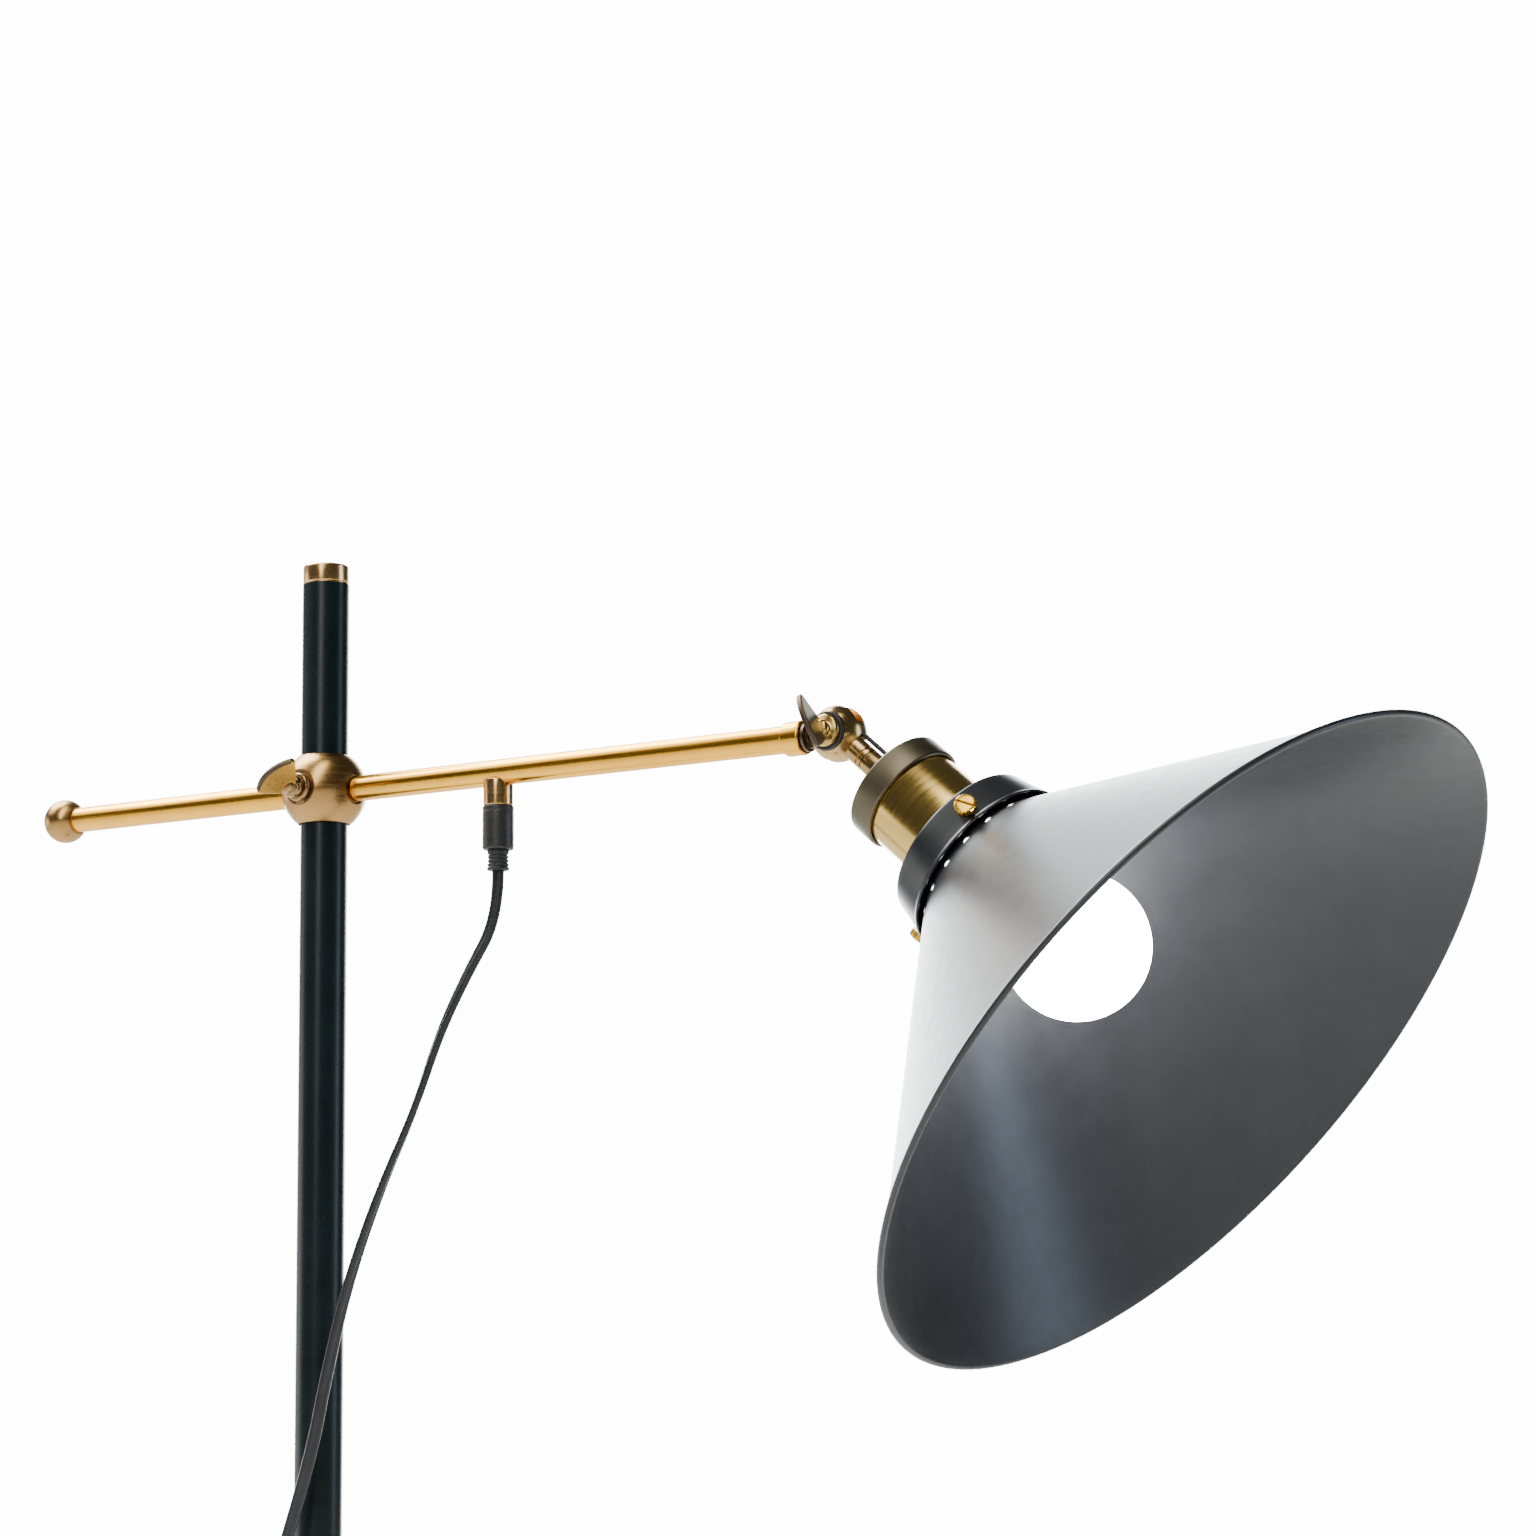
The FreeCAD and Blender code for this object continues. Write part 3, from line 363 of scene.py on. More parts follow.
def coil_points():
    """Two layers of three turns, stepping across and up in the last fifth of each turn."""
    stops = [(radius, TURN_Z[0]) for radius in TURN_R] + [(radius, TURN_Z[1]) for radius in reversed(TURN_R)]
    last = len(stops) - 1
    points = []
    per_turn, turns, step = 18, 6.5, 0.2
    for k in range(int(per_turn * turns)):
        turn, part = divmod(k / per_turn, 1)
        here = stops[min(int(turn), last)]
        there = stops[min(int(turn) + 1, last)]
        t = smooth_step((part - 1 + step) / step)
        radius = here[0] + (there[0] - here[0]) * t
        height = here[1] + (there[1] - here[1]) * t
        angle = 2 * math.pi * k / per_turn - math.pi / 2
        points.append((COIL_X + radius * math.cos(angle), COIL_Y + radius * math.sin(angle), height))
    return points


def spline_path(points):
    """Points along the smooth line that has these control points."""
    data = bpy.data.curves.new("route", "CURVE")
    data.dimensions = "3D"
    data.resolution_u = 14
    spline = data.splines.new("NURBS")
    spline.points.add(len(points) - 1)
    for point, where in zip(spline.points, points):
        point.co = (*where, 1)
    spline.order_u = 3
    spline.use_endpoint_u = True
    holder = bpy.data.objects.new("route", data)
    mesh = bpy.data.meshes.new_from_object(holder)
    path = [vertex.co.copy() for vertex in mesh.vertices]
    bpy.data.objects.remove(holder)
    bpy.data.curves.remove(data)
    bpy.data.meshes.remove(mesh)
    return path


def twin_section():
    """Two round cores joined by a web: 5.6 mm wide and 3.4 mm thick."""
    core = 0.0017
    offset = LEAD_W / 2 - core
    web = 0.00125                     # half the web's thickness
    steps, reach = 12, 98             # each core is drawn this many degrees either side of its outer point
    section = []
    for side, turn in ((1, 0), (-1, math.pi)):
        for k in range(steps + 1):
            angle = math.radians(-reach + 2 * reach * k / steps) + turn
            section.append((side * offset + core * math.cos(angle), core * math.sin(angle)))
        section.append((0.0, side * web))
    return section


def twin_lead(name, path, twist):
    """Flat twin lead that follows a path, its wide side turned by twist(length so far)."""
    section = twin_section()
    ahead = (path[1] - path[0]).normalized()
    side = ahead.orthogonal().normalized()
    bm = bmesh.new()
    rings = []
    along = 0.0
    for i, point in enumerate(path):
        if i:
            along += (point - path[i - 1]).length
        last = ahead
        ahead = (path[min(i + 1, len(path) - 1)] - path[max(i - 1, 0)]).normalized()
        side = last.rotation_difference(ahead) @ side
        side = (side - ahead * side.dot(ahead)).normalized()
        turned = Matrix.Rotation(twist(along), 3, ahead) @ side
        other = ahead.cross(turned)
        rings.append([bm.verts.new((point + turned * a + other * b) / MM) for a, b in section])
    count = len(section)
    for low, high in zip(rings, rings[1:]):
        for k in range(count):
            bm.faces.new([low[k], low[(k + 1) % count], high[(k + 1) % count], high[k]])
    bm.faces.new(rings[0])
    bm.faces.new(rings[-1])
    bmesh.ops.recalc_face_normals(bm, faces=bm.faces)
    piece = new_object(name, bm, [M["cord"]], 60)
    return piece


def path_length(path):
    return sum((b - a).length for a, b in zip(path, path[1:]))


def make_leads():
    """The lead in three runs: boot to slider, slider to switch, and switch to plug.

    The hanging runs twist slowly, in radians for each metre; the coil lies flat.
    """
    first, upper_rate, lower_rate = 0.7, 9.0, 6.0
    hanging = spline_path(HANGING)
    drop = spline_path(DROP)
    tail = spline_path(TAIL + coil_points() + PLUG_IN)
    passed_on = first + upper_rate * path_length(hanging)
    upper = twin_lead("lead_hanging", hanging, lambda s: first + upper_rate * s)
    lower = twin_lead("lead_drop", drop, lambda s: passed_on + lower_rate * s)
    coil = twin_lead("lead_coil", tail, lambda s: 0.0)
    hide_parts("cord_hanging")
    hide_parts("cord_drop")
    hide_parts("cord_tail", "cord_coil")
    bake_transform(upper)
    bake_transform(lower)
    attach(coil, "stand")
    print("lead lengths", [round(path_length(p), 3) for p in (hanging, drop, tail)])


# ---------------------------------------------------------------- surroundings
def make_stage():
    """Pale round floor."""
    bm = bmesh.new()
    bmesh.ops.create_circle(bm, cap_ends=True, segments=96, radius=14 / MM)
    mat, tree, shader = new_material("floor_paper", (0.9, 0.9, 0.9), 0.8)
    tint(tree, shader, clouds(tree, 0.4, 2), (0.88, 0.88, 0.88), (0.91, 0.91, 0.91))
    new_object("floor", bm, [mat])


def make_world():
    """White studio to look at; the light itself comes from soft panels round a dim room."""
    world = bpy.data.worlds.new("studio")
    bpy.context.scene.world = world
    world.use_nodes = True
    tree = world.node_tree
    place = tree.nodes.new("ShaderNodeTexCoord")
    total = None
    for centre, half, core, strength, colour in PANELS:
        spot = tree.nodes.new("ShaderNodeMapping")
        spot.vector_type = "TEXTURE"
        spot.inputs["Location"].default_value = Vector(centre).normalized()
        spot.inputs["Scale"].default_value = half
        tree.links.new(place.outputs["Generated"], spot.inputs["Vector"])
        reach = tree.nodes.new("ShaderNodeVectorMath")
        reach.operation = "LENGTH"
        tree.links.new(spot.outputs["Vector"], reach.inputs[0])
        fade = tree.nodes.new("ShaderNodeMapRange")
        fade.interpolation_type = "SMOOTHSTEP"
        for key, value in (("From Min", core), ("From Max", 1.0), ("To Min", strength), ("To Max", 0.0)):
            fade.inputs[key].default_value = value
        tree.links.new(reach.outputs["Value"], fade.inputs["Value"])
        lit = tree.nodes.new("ShaderNodeVectorMath")
        lit.operation = "MULTIPLY_ADD"
        lit.inputs[0].default_value = colour
        lit.inputs[2].default_value = ROOM
        tree.links.new(fade.outputs["Result"], lit.inputs[1])
        if total:
            tree.links.new(total, lit.inputs[2])
        total = lit.outputs["Vector"]
    panels = tree.nodes["Background"]
    tree.links.new(total, panels.inputs["Color"])
    paper = tree.nodes.new("ShaderNodeBackground")
    paper.inputs["Color"].default_value = (1.0, 1.0, 0.995, 1)
    paper.inputs["Strength"].default_value = PAPER
    path = tree.nodes.new("ShaderNodeLightPath")
    mix = tree.nodes.new("ShaderNodeMixShader")
    tree.links.new(path.outputs["Is Camera Ray"], mix.inputs["Fac"])
    tree.links.new(panels.outputs["Background"], mix.inputs[1])
    tree.links.new(paper.outputs["Background"], mix.inputs[2])
    tree.links.new(mix.outputs["Shader"], tree.nodes["World Output"].inputs["Surface"])


def make_ceiling_light():
    """Large soft light over the floor beside the handle."""
    place, target = Vector((-1.3, 0.1, 3.1)), Vector((-1.0, 0.2, 0))
    data = bpy.data.lights.new("ceiling_light", "AREA")
    data.size = 1.6
    data.energy = 120
    light = bpy.data.objects.new("ceiling_light", data)
    bpy.context.scene.collection.objects.link(light)
    light.location = place
    light.rotation_euler = (target - place).to_track_quat("-Z", "Y").to_euler()


ROOM = (0.07, 0.07, 0.07)             # the dim room between the panels
PAPER = 14.7                          # the white that the camera sees behind the lamp
PANELS = (                            # direction of the middle, half sizes, even core, strength, colour
    ((-0.536, 0.829, 0.1), (0.68, 0.68, 0.58), 0.5, 14.0, (0.95, 0.985, 1.0)),
    ((-0.962, -0.2, -0.1), (0.45, 0.5, 0.4), 0.5, 3.0, (1.0, 0.98, 0.95)),
    ((0.861, 0.477, 0.12), (0.2, 0.2, 0.42), 0.5, 5.4, (0.62, 0.78, 1.0)),
    ((0.22, -0.7, 0.68), (0.2, 0.75, 0.72), 0.65, 7.0, (1.0, 0.98, 0.93)),
    ((-0.664, -0.242, 0.707), (0.5, 0.6, 0.4), 0.5, 3.5, (1.0, 0.98, 0.94)),
)


# ---------------------------------------------------------------- stand
def heights(node):
    """Lowest and highest height of a node, in millimetres."""
    low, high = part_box(node)
    return low[2] / MM, high[2] / MM


def make_stand():
    wall, plug = 1.7, 12              # the pole's wall, and how far the cap reaches into it
    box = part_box("upper_pole")
    radius = (box[1][0] - box[0][0]) / 2 / MM
    bore = radius - wall
    join, low, high = heights("joint_ring")[1], heights("upper_pole")[1], heights("pole_cap")[1]
    for name, node, span in (("pole_upper", "upper_pole", (join, low)),
                             ("pole_lower", "lower_pole", heights("lower_pole"))):
        lathe(name, tube_ring(radius, bore, *span), M["pole"], STAND, "stand", [node], 0.15, 128, True)
    lathe("pole_cap_brass", [
        (0, low - plug), (bore - 0.1, low - plug), (bore - 0.1, low + 0.05), (radius - 0.2, low + 0.05),
        (radius - 0.2, low + 0.5), (radius - 0.45, low + 0.75), (radius - 0.12, low + 1.0),
        (radius - 0.12, high - 0.8), (radius - 0.8, high - 0.1), (radius - 1.8, high), (0, high - 0.15),
    ], M["cap"], STAND, "stand", ["pole_cap"], 0.3, 128)


# ---------------------------------------------------------------- arm and handle
def make_ball():
    """Ball bored for the pole and dished round the arm, the handle and the wing screw."""
    radius, rise = 19.4, 0.7          # the ball, its middle a little above the arm's axis
    lip, bore, bush = 11.5, 12.75, 11.3      # lip round the pole, bore for the bush, half the bush's length
    side_dish, front_dish = (16.4, 7.1), (17.4, 8.6)     # how far out each dish lies, and its radius
    half = math.acos(lip / radius)
    steps = 52
    profile = []
    for k in range(steps + 1):
        angle = half - 2 * half * k / steps
        profile.append((radius * math.cos(angle), rise + radius * math.sin(angle)))
    profile += [(lip, -bush), (bore, -bush), (bore, bush), (lip, bush)]
    bm = bmesh.new()
    spin(bm, softened(profile, 0.35, True), 160, True)
    names = ["clamp_ball", "ball_lip_ring"]
    ball = finish_piece("clamp_ball_brass", bm, [M["ball"], M["recess"]], AT_BALL, "arm", names, 40)
    clear = radius + 4.6
    for turn, (depth, wide) in ((0, side_dish), (180, side_dish), (-90, front_dish)):
        tool = bmesh.new()
        # The dishes' walls take slot 1, the darker brass: painted shade in the hollows.
        spin(tool, softened([(0, depth), (wide, depth), (wide, clear), (0, clear)], 0.7, False), 64, index=1)
        carve(ball, tool, AT_BALL @ Matrix.Rotation(math.radians(turn), 4, "Z") @ ALONG_X)
    shade(ball.data, 35)


ARM_R = 5.9                           # the arm's and the handle's radius
ARM_SEAT = 13.4                       # how far from the pole's axis both start


def make_handle():
    """Short rod with a ball knob, its inner end in the clamp ball."""
    rod_end, knob_x, knob_r, face = -147.8, -155.5, 10.2, 7.4
    along = AT_BALL @ ALONG_X
    lathe("handle_rod_brass", [(0, rod_end), (ARM_R, rod_end), (ARM_R, -ARM_SEAT), (0, -ARM_SEAT)], M["arm"], along,
          "arm", ["handle_rod"], 0.2)
    profile = [(0, knob_x - knob_r)]
    for k in range(1, 40):
        angle = math.radians(k * 4)
        radius, height = knob_r * math.sin(angle), knob_x - knob_r * math.cos(angle)
        if height < knob_x + face:
            profile.append((radius, height))
    profile += [(6.6, knob_x + face + 0.5), (0, knob_x + face + 0.5)]
    lathe("handle_knob_brass", profile, M["ball"], along, "arm", ["handle_knob"], 0.4, 96, sharp=50)


def make_arm():
    """Arm tube and the ferrule over its far end."""
    along = AT_BALL @ ALONG_X
    lathe("arm_tube_brass", tube_ring(ARM_R, 4.4, ARM_SEAT, 251.3), M["arm"], along, "arm", ["arm_tube"], 0.2, 96,
          True)
    lathe("arm_ferrule_brass", [
        (5.95, 248.4), (7.1, 248.4), (7.4, 248.8), (7.4, 256.6), (6.9, 257.4), (4.2, 257.3), (3.9, 252), (5.95, 252),
    ], M["arm"], along, "arm", ["arm_ferrule"], 0.3, 96, True)


def make_lead_exit():
    """Boss under the arm, the gland screwed into it and the ribbed boot on the lead."""
    boss = AT_BALL @ Matrix.Translation((HANGING[0][0], 0, 0))
    lathe("cord_boss_brass", [
        (3.5, -14.9), (6.3, -14.9), (6.6, -14.5), (6.6, -7.2), (6.6, -3.4), (3.5, -3.4),
    ], M["cap"], boss, "arm", ["cord_boss"], 0.25, 96, True)
    lathe("gland_barrel", [
        (4.5, -18.5), (3.5, -15.0), (6.7, -15.0), (6.9, -15.4), (6.9, -17.0), (6.75, -17.3), (6.9, -17.6),
        (6.9, -33.4),
        (6.5, -34.2), (5.2, -34.4), (4.6, -33.6),
    ], M["plastic"], boss, "arm", ["cord_gland"], 0.2, 96, True)
    boot = [(2.75, -19.2), (3.8, -19.2), (4.3, -33.4), (4.7, -34.6), (4.7, -36.0)]
    for k in range(3):
        low, rib = -36.4 - k * 1.7, 4.6 + 0.05 * k
        boot += [(4.15, low), (4.15, low - 0.5), (rib, low - 0.8), (rib, low - 1.4)]
    boot += [(4.3, -41.7), (4.9, -42.2), (4.9, -43.3), (2.75, -43.5)]
    lathe("lead_boot", boot, M["rubber"], boss, "arm", ["strain_relief"], 0.2, 80, True)


# ---------------------------------------------------------------- shade and gallery
def make_gallery():
    """Skirt that holds the shade on the cup."""
    inner = 20.3
    lathe("gallery_skirt", [
        (inner, 77.2), (33.4, 77.2), (35.0, 77.7), (35.5, 78.6), (36.4, 83), (37.6, 88.5), (38.5, 92.8), (39.2, 93.9),
        (39.3, 94.9), (38.1, 94.9), (38.0, 93.9), (34.3, 79.2), (33.6, 78.4), (inner, 78.4),
    ], M["gallery"], HEAD, "head", ["shade_gallery"], 0.35, 160, True, 45)


def screw_head(bm, radius, low, high):
    """Lightly knurled head, drawn along local Z."""
    lobes, segments, knurl = 16, 128, 0.04
    profile = [(0.6, low), (1.0, low), (1.0, high - 0.9), (0.95, high - 0.35), (0.8, high - 0.06), (0.6, high),
               (0.0, high)]
    rings = []
    for share, height in profile:
        depth = knurl if share > 0.85 else 0.0
        ring = []
        for k in range(segments):
            angle = 2 * math.pi * k / segments
            r = radius * share * (1 - depth * (0.5 + 0.5 * math.cos(lobes * angle)) ** 3)
            ring.append(bm.verts.new((r * math.cos(angle), r * math.sin(angle), height)))
        rings.append(ring)
    for a, b in zip(rings, rings[1:]):
        for k in range(segments):
            bm.faces.new([a[k], a[(k + 1) % segments], b[(k + 1) % segments], b[k]])
    bmesh.ops.remove_doubles(bm, verts=bm.verts, dist=1e-4)


def make_screws():
    """Three slotted screws evenly round the gallery, each stopped at its own angle."""
    first, along = -57.5, 87.3        # the first one's place round the head's axis, and along it
    inner_end, shank_r = 33.6, 1.9
    under, top, head_r, slot_size = 38.82, 42.1, 4.6, (12, 1.2, 2.2)
    for k in range(3):
        turn = Matrix.Rotation(math.radians(180 - first - 120 * k), 4, "Z")
        place = HEAD @ turn @ Matrix.Translation((0, 0, along * MM)) @ ALONG_X
        bm = bmesh.new()
        spin(bm, [(0, inner_end), (shank_r, inner_end), (shank_r, under + 0.08)], 48)
        screw_head(bm, head_r, under, top)
        names = ["gallery_screws"] if k == 0 else []
        piece = finish_piece(f"gallery_screw_{k}", bm, [M["screw"]], place, "head", names, 40)
        slot = bmesh.new()
        bmesh.ops.create_cube(slot, size=1)
        bmesh.ops.scale(slot, vec=slot_size, verts=slot.verts)
        spot = Matrix.Translation((0, 0, (top - 0.1) * MM)) @ Matrix.Rotation(math.radians(25 + 40 * k), 4, "Z")
        carve(piece, slot, place @ spot)


NECK_R, CONE_START = 33.4, 93.0       # the neck's radius, and where the cone starts along the head's axis
RIM_R, RIM_S = 160.2, 214.1           # the cone's wide end
SHADE_WALL, BEAD_R = 1.0, 1.4
VENTS, VENT_R, VENT_LOW, VENT_HIGH = 20, 1.9, 95.6, 101.2
PER_VENT = 8                          # quads along each side of the square round a vent


def cone_radius(s, inside=False):
    """Radius of the cone's wall at a place along the head's axis."""
    slope = (RIM_R - NECK_R) / (RIM_S - CONE_START)
    wall = SHADE_WALL * math.sqrt(1 + slope * slope) if inside else 0.0
    return NECK_R + (s - CONE_START) * slope - wall


def vent_band(bm):
    """Band of the cone's wall with a ring of round holes through it."""
    middle, half = (VENT_LOW + VENT_HIGH) / 2, (VENT_HIGH - VENT_LOW) / 2
    slope_len = math.sqrt(1 + ((cone_radius(VENT_HIGH) - cone_radius(VENT_LOW)) / (2 * half)) ** 2)
    step = 2 * math.pi / VENTS
    count = 4 * PER_VENT
    square = []
    for k in range(count):
        side, part = divmod(k, PER_VENT)
        t = -1 + 2 * part / PER_VENT
        square.append([(t, -1), (1, t), (-t, 1), (-1, -t)][side])

    def on_wall(s, angle, inside):
        r = cone_radius(s, inside)
        return bm.verts.new((r * math.cos(angle), r * math.sin(angle), s))

    walls = []
    for inside in (False, True):
        circles = []
        for v in range(VENTS):
            outer, inner = [], []
            for a, b in square:
                outer.append(on_wall(middle + b * half, v * step + a * step / 2, inside))
                hole = VENT_R / math.hypot(a, b)
                turn = v * step + a * hole / cone_radius(middle)
                inner.append(on_wall(middle + b * hole / slope_len, turn, inside))
            for k in range(count):
                n = (k + 1) % count
                between = [bm.verts.new(outer[i].co * 0.45 + inner[i].co * 0.55) for i in (k, n)]
                bm.faces.new([outer[k], outer[n], between[1], between[0]])
                bm.faces.new([between[0], between[1], inner[n], inner[k]])
            circles.append(inner)
        walls.append(circles)
    for front, back in zip(*walls):
        for k in range(count):
            n = (k + 1) % count
            bm.faces.new([front[k], front[n], back[n], back[k]])


def rim_bead(steps=19, first=-98, last=180):
    """Outline of the rolled rim: an arc on the outer side of the cone, flush with its inner wall."""
    lean = math.atan2(RIM_R - NECK_R, RIM_S - CONE_START)
    along = Vector((math.sin(lean), math.cos(lean)))
    outward = Vector((math.cos(lean), -math.sin(lean)))
    middle = Vector((RIM_R, RIM_S)) + outward * (BEAD_R - SHADE_WALL)
    points = []
    for k in range(steps + 1):
        angle = math.radians(first + k * (last - first) / steps)
        points.append(tuple(middle + BEAD_R * (outward * math.cos(angle) + along * math.sin(angle))))
    return points


def make_shade():
    """Spun cone with a short neck, vent holes and a rolled rim."""
    neck_end, rows, segments = 79.4, 36, VENTS * PER_VENT
    inner_r = NECK_R - SHADE_WALL
    bm = bmesh.new()
    collar = [(cone_radius(VENT_LOW, True), VENT_LOW), (inner_r, CONE_START + 0.6), (inner_r, neck_end),
              (NECK_R, neck_end), (NECK_R, CONE_START), (cone_radius(VENT_LOW), VENT_LOW)]
    spin(bm, softened(collar, 0.9, False), segments)
    places = [VENT_HIGH + (RIM_S - VENT_HIGH) * k / rows for k in range(rows + 1)]
    outside = [(cone_radius(s), s) for s in places[:-1]]
    inside = [(cone_radius(s, True), s) for s in reversed(places[:-1])]
    spin(bm, outside + rim_bead() + inside, segments)
    bmesh.ops.rotate(bm, cent=(0, 0, 0), matrix=Matrix.Rotation(-math.pi / VENTS, 3, "Z"), verts=bm.verts)
    vent_band(bm)
    bmesh.ops.remove_doubles(bm, verts=bm.verts, dist=0.02)
    bmesh.ops.recalc_face_normals(bm, faces=bm.faces)
    for face in bm.faces:
        centre = face.calc_center_median()
        outward = face.normal.x * centre.x + face.normal.y * centre.y
        face.material_index = 0 if outward > 0 or centre.z > RIM_S else 1
    finish_piece("shade_cone", bm, [M["outer"], M["inner"]], HEAD, "head", ["shade"], 45)


def make_socket():
    """Cap ring, brass cup and the neck between the cup and the knuckle."""
    lathe("socket_cap_ring", [
        (5.4, 35.2), (22.8, 35.2), (24.2, 36.2), (24.2, 46.9), (23.7, 47.6), (22.7, 47.6), (22.7, 39), (5.4, 38.4),
    ], M["ring"], HEAD, "head", ["socket_cap"], 0.5, 160, True)
    lathe("socket_cup", [
        (22.5, 38.5), (22.5, 75.7), (22.7, 76.3), (22.5, 77.1), (21.8, 77.1), (21.7, 38.5),
    ], M["cup"], HEAD, "head", ["socket_shell"], 0.2, 160, True, 45)
    lathe("neck_tube", [(0, 19.15), (4.95, 19.15), (5.3, 19.5), (5.3, 35.1), (4.9, 36), (0, 36)],
          M["knuckle"], HEAD, "head", ["neck_nipple"], 0.2, 96)


def make_bulb():
    """Round frosted globe that narrows into its cap."""
    centre, radius, low, neck = 146.8, 30.0, 96.4, 12.9
    half = math.radians(128)
    profile = []
    for k in range(41):
        angle = half * k / 40
        profile.append((radius * math.sin(angle), centre + radius * math.cos(angle)))
    end = Vector(profile[-1])
    lean = Vector((-math.sin(half - math.pi / 2), -math.cos(half - math.pi / 2)))
    poles = [end, end + lean * 12, Vector((neck, low + 12)), Vector((neck, low))]
    for k in range(1, 17):
        t = k / 16
        weights = ((1 - t) ** 3, 3 * t * (1 - t) ** 2, 3 * t * t * (1 - t), t ** 3)
        point = sum((p * w for p, w in zip(poles, weights)), Vector((0, 0)))
        profile.append((point.x, point.y))
    profile.append((0, low))
    lathe("bulb_globe", profile, M["bulb"], HEAD, "head", ["bulb_glass"], 0.0, 96, sharp=60)


# ---------------------------------------------------------------- wing screws
CORNER_STEPS, EDGE_STEPS = 8, 24      # pieces of a leaf's rounded corner and of half its curved edge


def leaf_outline(half=12.6, shift=2.4, chord=8.1, crown=13.2, root=4.0, corner=2.0):
    """Outline that widens from the root to a curved outer edge with rounded corners."""
    bend = (half * half + (crown - chord) ** 2) / (2 * (crown - chord))       # radius of the curved edge
    sweep = math.asin(half / bend) - corner / bend
    middle = bend - crown
    sides = []
    for side in (1, -1):
        tip = Vector((shift + side * half, -chord))
        start = Vector((side * root, 3.0))
        first = tip + (start - tip).normalized() * corner
        edge = []
        for k in range(EDGE_STEPS + 1):
            angle = sweep * (1 - k / EDGE_STEPS)
            edge.append(Vector((shift + side * bend * math.sin(angle), middle - bend * math.cos(angle))))
        points = [start]
        for k in range(CORNER_STEPS + 1):
            t = k / CORNER_STEPS
            points.append(first * (1 - t) ** 2 + tip * 2 * t * (1 - t) + edge[0] * t ** 2)
        sides.append(points + edge[1:])
    return sides[0] + list(reversed(sides[1][:-1]))


def leaf(name, out, lean, degrees, mats, body, place, replaces, shade_band=0.3):
    """Flat leaf with a bevelled rim; it leans about its long side and is turned about the screw.

    The rim is dark bronze; along the curved outer edge the dark reaches further in, up to the given inset: painted
    shade of the leaf's edge.
    """
    outline = leaf_outline()
    count = len(outline)
    crown = range(CORNER_STEPS, count - CORNER_STEPS - 1)
    middle = Vector((1.5, -5.0))
    face = 1.25                       # half the leaf's thickness
    levels = [(1.2, face), (0.5, face), (0.28, face - 0.04), (0.1, face - 0.14), (0.0, face - 0.35)]
    levels += [(inset, -height) for inset, height in reversed(levels)]
    bm = bmesh.new()
    rings = []
    for inset, height in levels:
        points = [p + (middle - p).normalized() * inset for p in outline]
        rings.append((inset, [bm.verts.new((p.x, p.y, height)) for p in points]))
    for (inset, low), (next_inset, high) in zip(rings, rings[1:]):
        depth = max(inset, next_inset)
        for k in range(count):
            corners = [low[k], low[(k + 1) % count], high[(k + 1) % count], high[k]]
            # Dark faces: the sides all round, and along the crown a strip of painted shade reaching onto the face.
            dark = depth <= (shade_band if k in crown else 0.0)
            bm.faces.new(corners).material_index = 1 if dark else 0
    for inset, ring in (rings[0], rings[-1]):
        bm.faces.new(ring)
    tilt = Matrix.Translation((0, -out, 0)) @ Matrix.Rotation(math.radians(-lean), 4, "X")
    bmesh.ops.transform(bm, verts=bm.verts, matrix=tilt)
    turned = place @ Matrix.Rotation(math.radians(-degrees), 4, "Y")
    finish_piece(name, bm, mats, turned, body, replaces, 60)


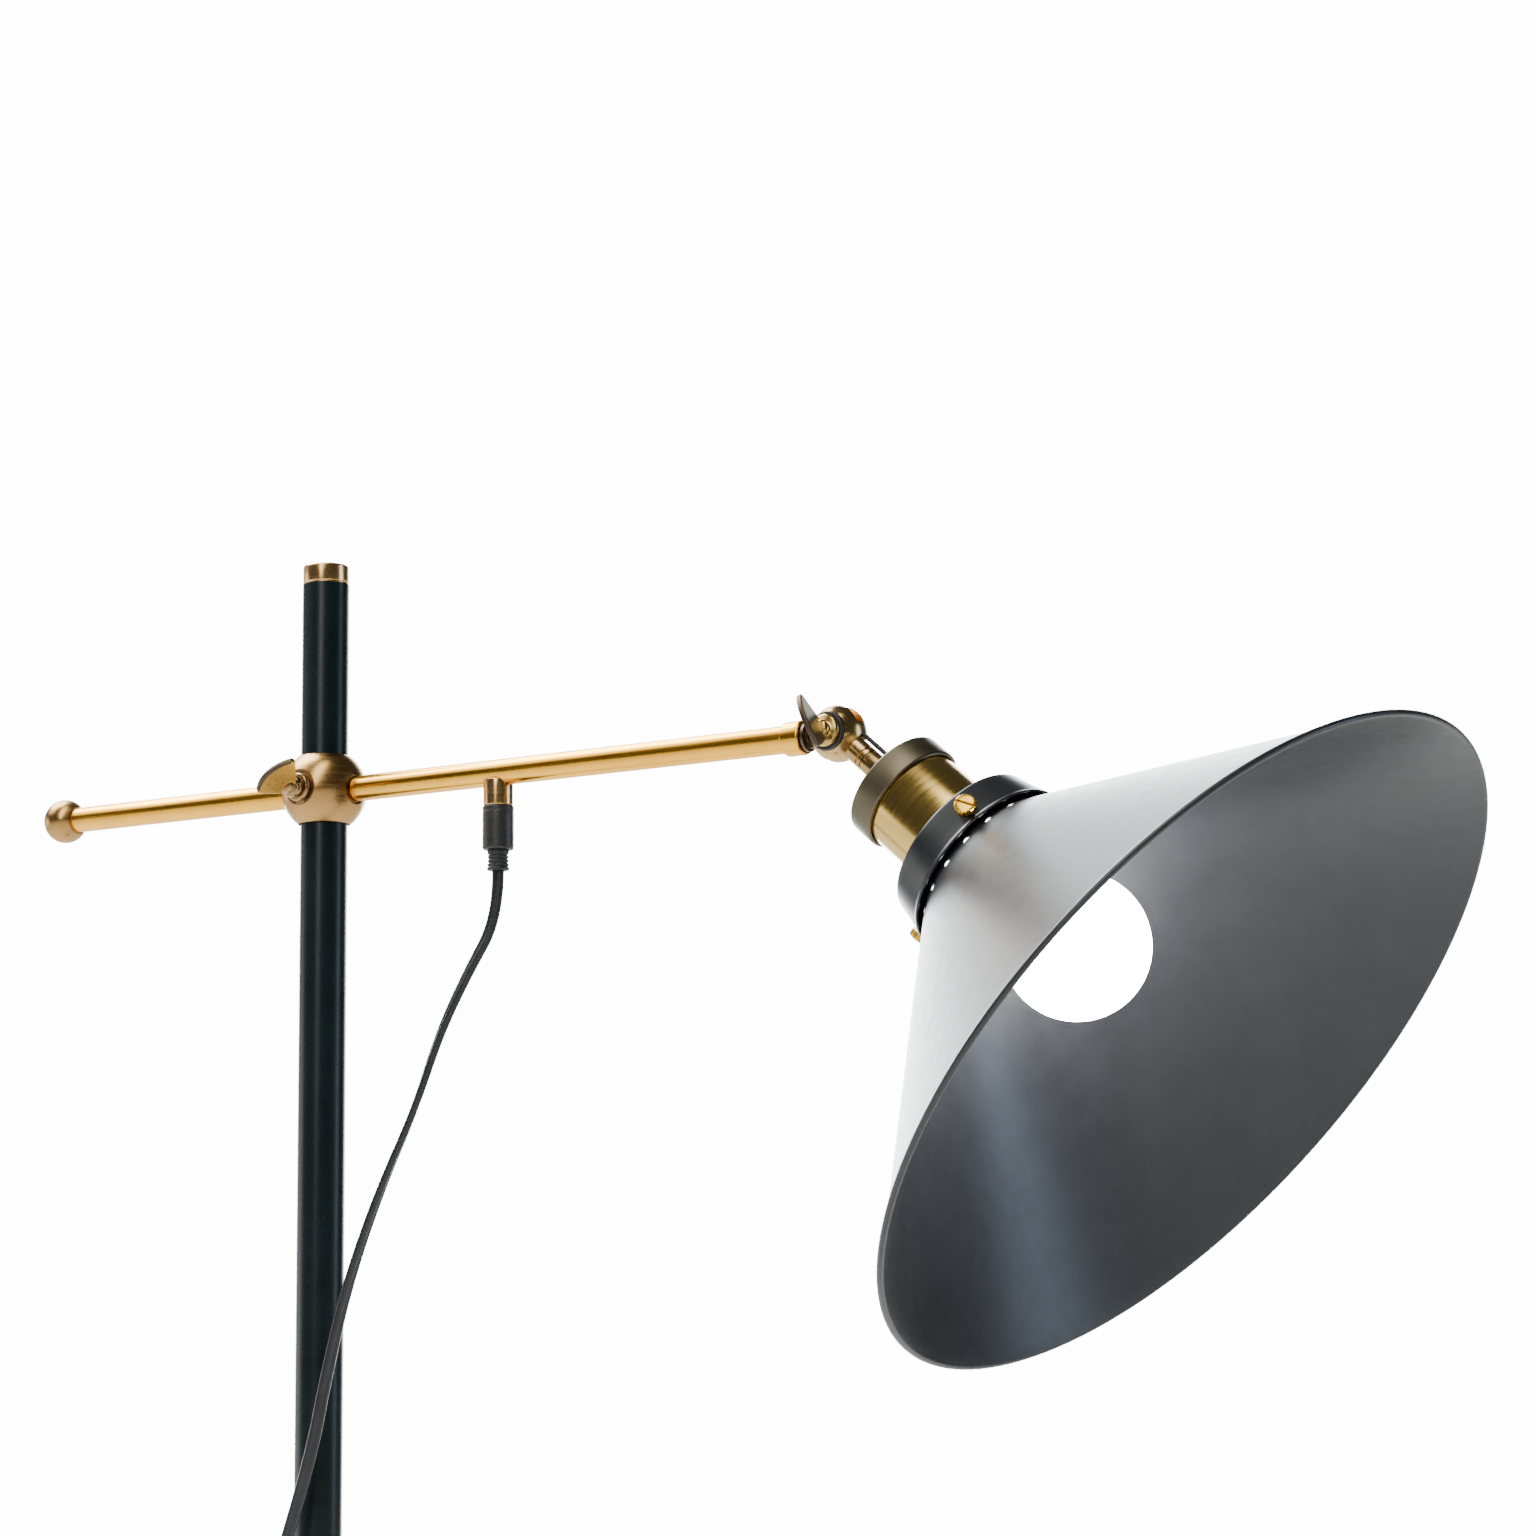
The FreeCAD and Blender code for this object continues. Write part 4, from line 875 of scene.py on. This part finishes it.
def make_wing_screws():
    """Turned hubs with a leaf on each, and the black washer under the knuckle's screw."""
    front = AT_BALL @ ALONG_FRONT
    lathe("clamp_screw_hub", [
        (0, 15), (3.0, 15), (3.0, 17.7), (5.9, 17.7), (6.4, 18.2), (6.4, 19.6), (5.9, 20.3), (3.9, 20.5), (3.9, 21.2),
        (4.9, 21.4), (5.3, 22.2), (5.3, 23.4), (4.8, 24.6), (3.4, 25.0), (3.4, 25.6), (4.0, 25.9), (4.1, 27.0),
        (3.2, 28.4), (1.8, 28.8), (0, 28.8),
    ], M["hub"], front, "clamp_screw", ["clamp_wing_screw"], 0.35, 96, sharp=60)
    # The clamp leaf's dark reaches 1.2 mm onto its face: painted shade of its edge.
    leaf("clamp_screw_leaf", 27.8, 14, 31, [M["leaf"], M["rim"]], "clamp_screw", AT_BALL, ["clamp_wing_leaf"], 1.2)
    front = AT_TILT @ ALONG_FRONT
    lathe("tilt_screw_hub", [
        (0, 8.0), (2.5, 8.0), (2.5, 10.5), (6.5, 10.5), (6.9, 10.9), (6.9, 11.6), (6.3, 12.4), (4.3, 13.0),
        (3.7, 13.4), (4.2, 14.2), (4.0, 15.3), (3.2, 16.1), (1.8, 16.4), (0, 16.4),
    ], M["nose"], front, "tilt_screw", ["tilt_wing_screw"], 0.35, 96, sharp=60)
    # The tilt leaf takes the darker brass: painted shade.
    leaf("tilt_screw_leaf", 15.4, -8, 113, [M["tilt_leaf_shade"], M["rim"]], "tilt_screw", AT_TILT, ["tilt_wing_leaf"])
    lathe("tilt_washer_black", [
        (2.9, 8.65), (7.9, 8.65), (8.3, 9.0), (8.3, 9.9), (7.8, 10.4), (6.6, 10.4), (6.5, 10.2), (2.9, 10.2),
    ], M["plastic"], front, "head", ["tilt_washer"], 0.2, 96, True)


# ---------------------------------------------------------------- nodes kept from the CAD
KEPT = {
    "steel": ["base_washer", "base_nut", "base_rod", "foot_insert", "joint_spigot", "plug_pins"],
    "base": ["base_plate"],
    "felt": ["base_pad"],
    "web": ["cord_tie"],
    "cap": ["base_collar", "joint_ring", "socket_thread", "socket_contact", "clamp_pad"],
    "knuckle": ["knuckle_ball", "tilt_nut"],
    # The tongue is coloured dark: painted shade between the ferrule and the knuckle's ball.
    "tongue_shade": ["knuckle_tongue"],
    "nylon": ["pole_bush"],
    "fibre": ["friction_washers"],
    "rubber": ["arm_lead", "head_lead", "plug_relief"],
    "porcelain": ["socket_insert"],
    "plastic": ["gallery_ring", "bulb_contact", "switch_base", "switch_cover", "switch_block", "switch_button",
                "plug_body"],
    "tin": ["bulb_cap"],
}


def dress_nodes():
    """Gives the nodes that Blender doesn't rebuild their materials."""
    for key, names in KEPT.items():
        for name in names:
            node = frame["nodes"][name]
            node.data.materials.clear()
            node.data.materials.append(M[key])


make_camera()
make_leads()
make_stage()
make_world()
dress_nodes()
make_stand()
make_ball()
make_handle()
make_arm()
make_lead_exit()
make_wing_screws()
make_socket()
make_gallery()
make_screws()
make_shade()
make_bulb()
make_ceiling_light()

bpy.context.view_layer.update()
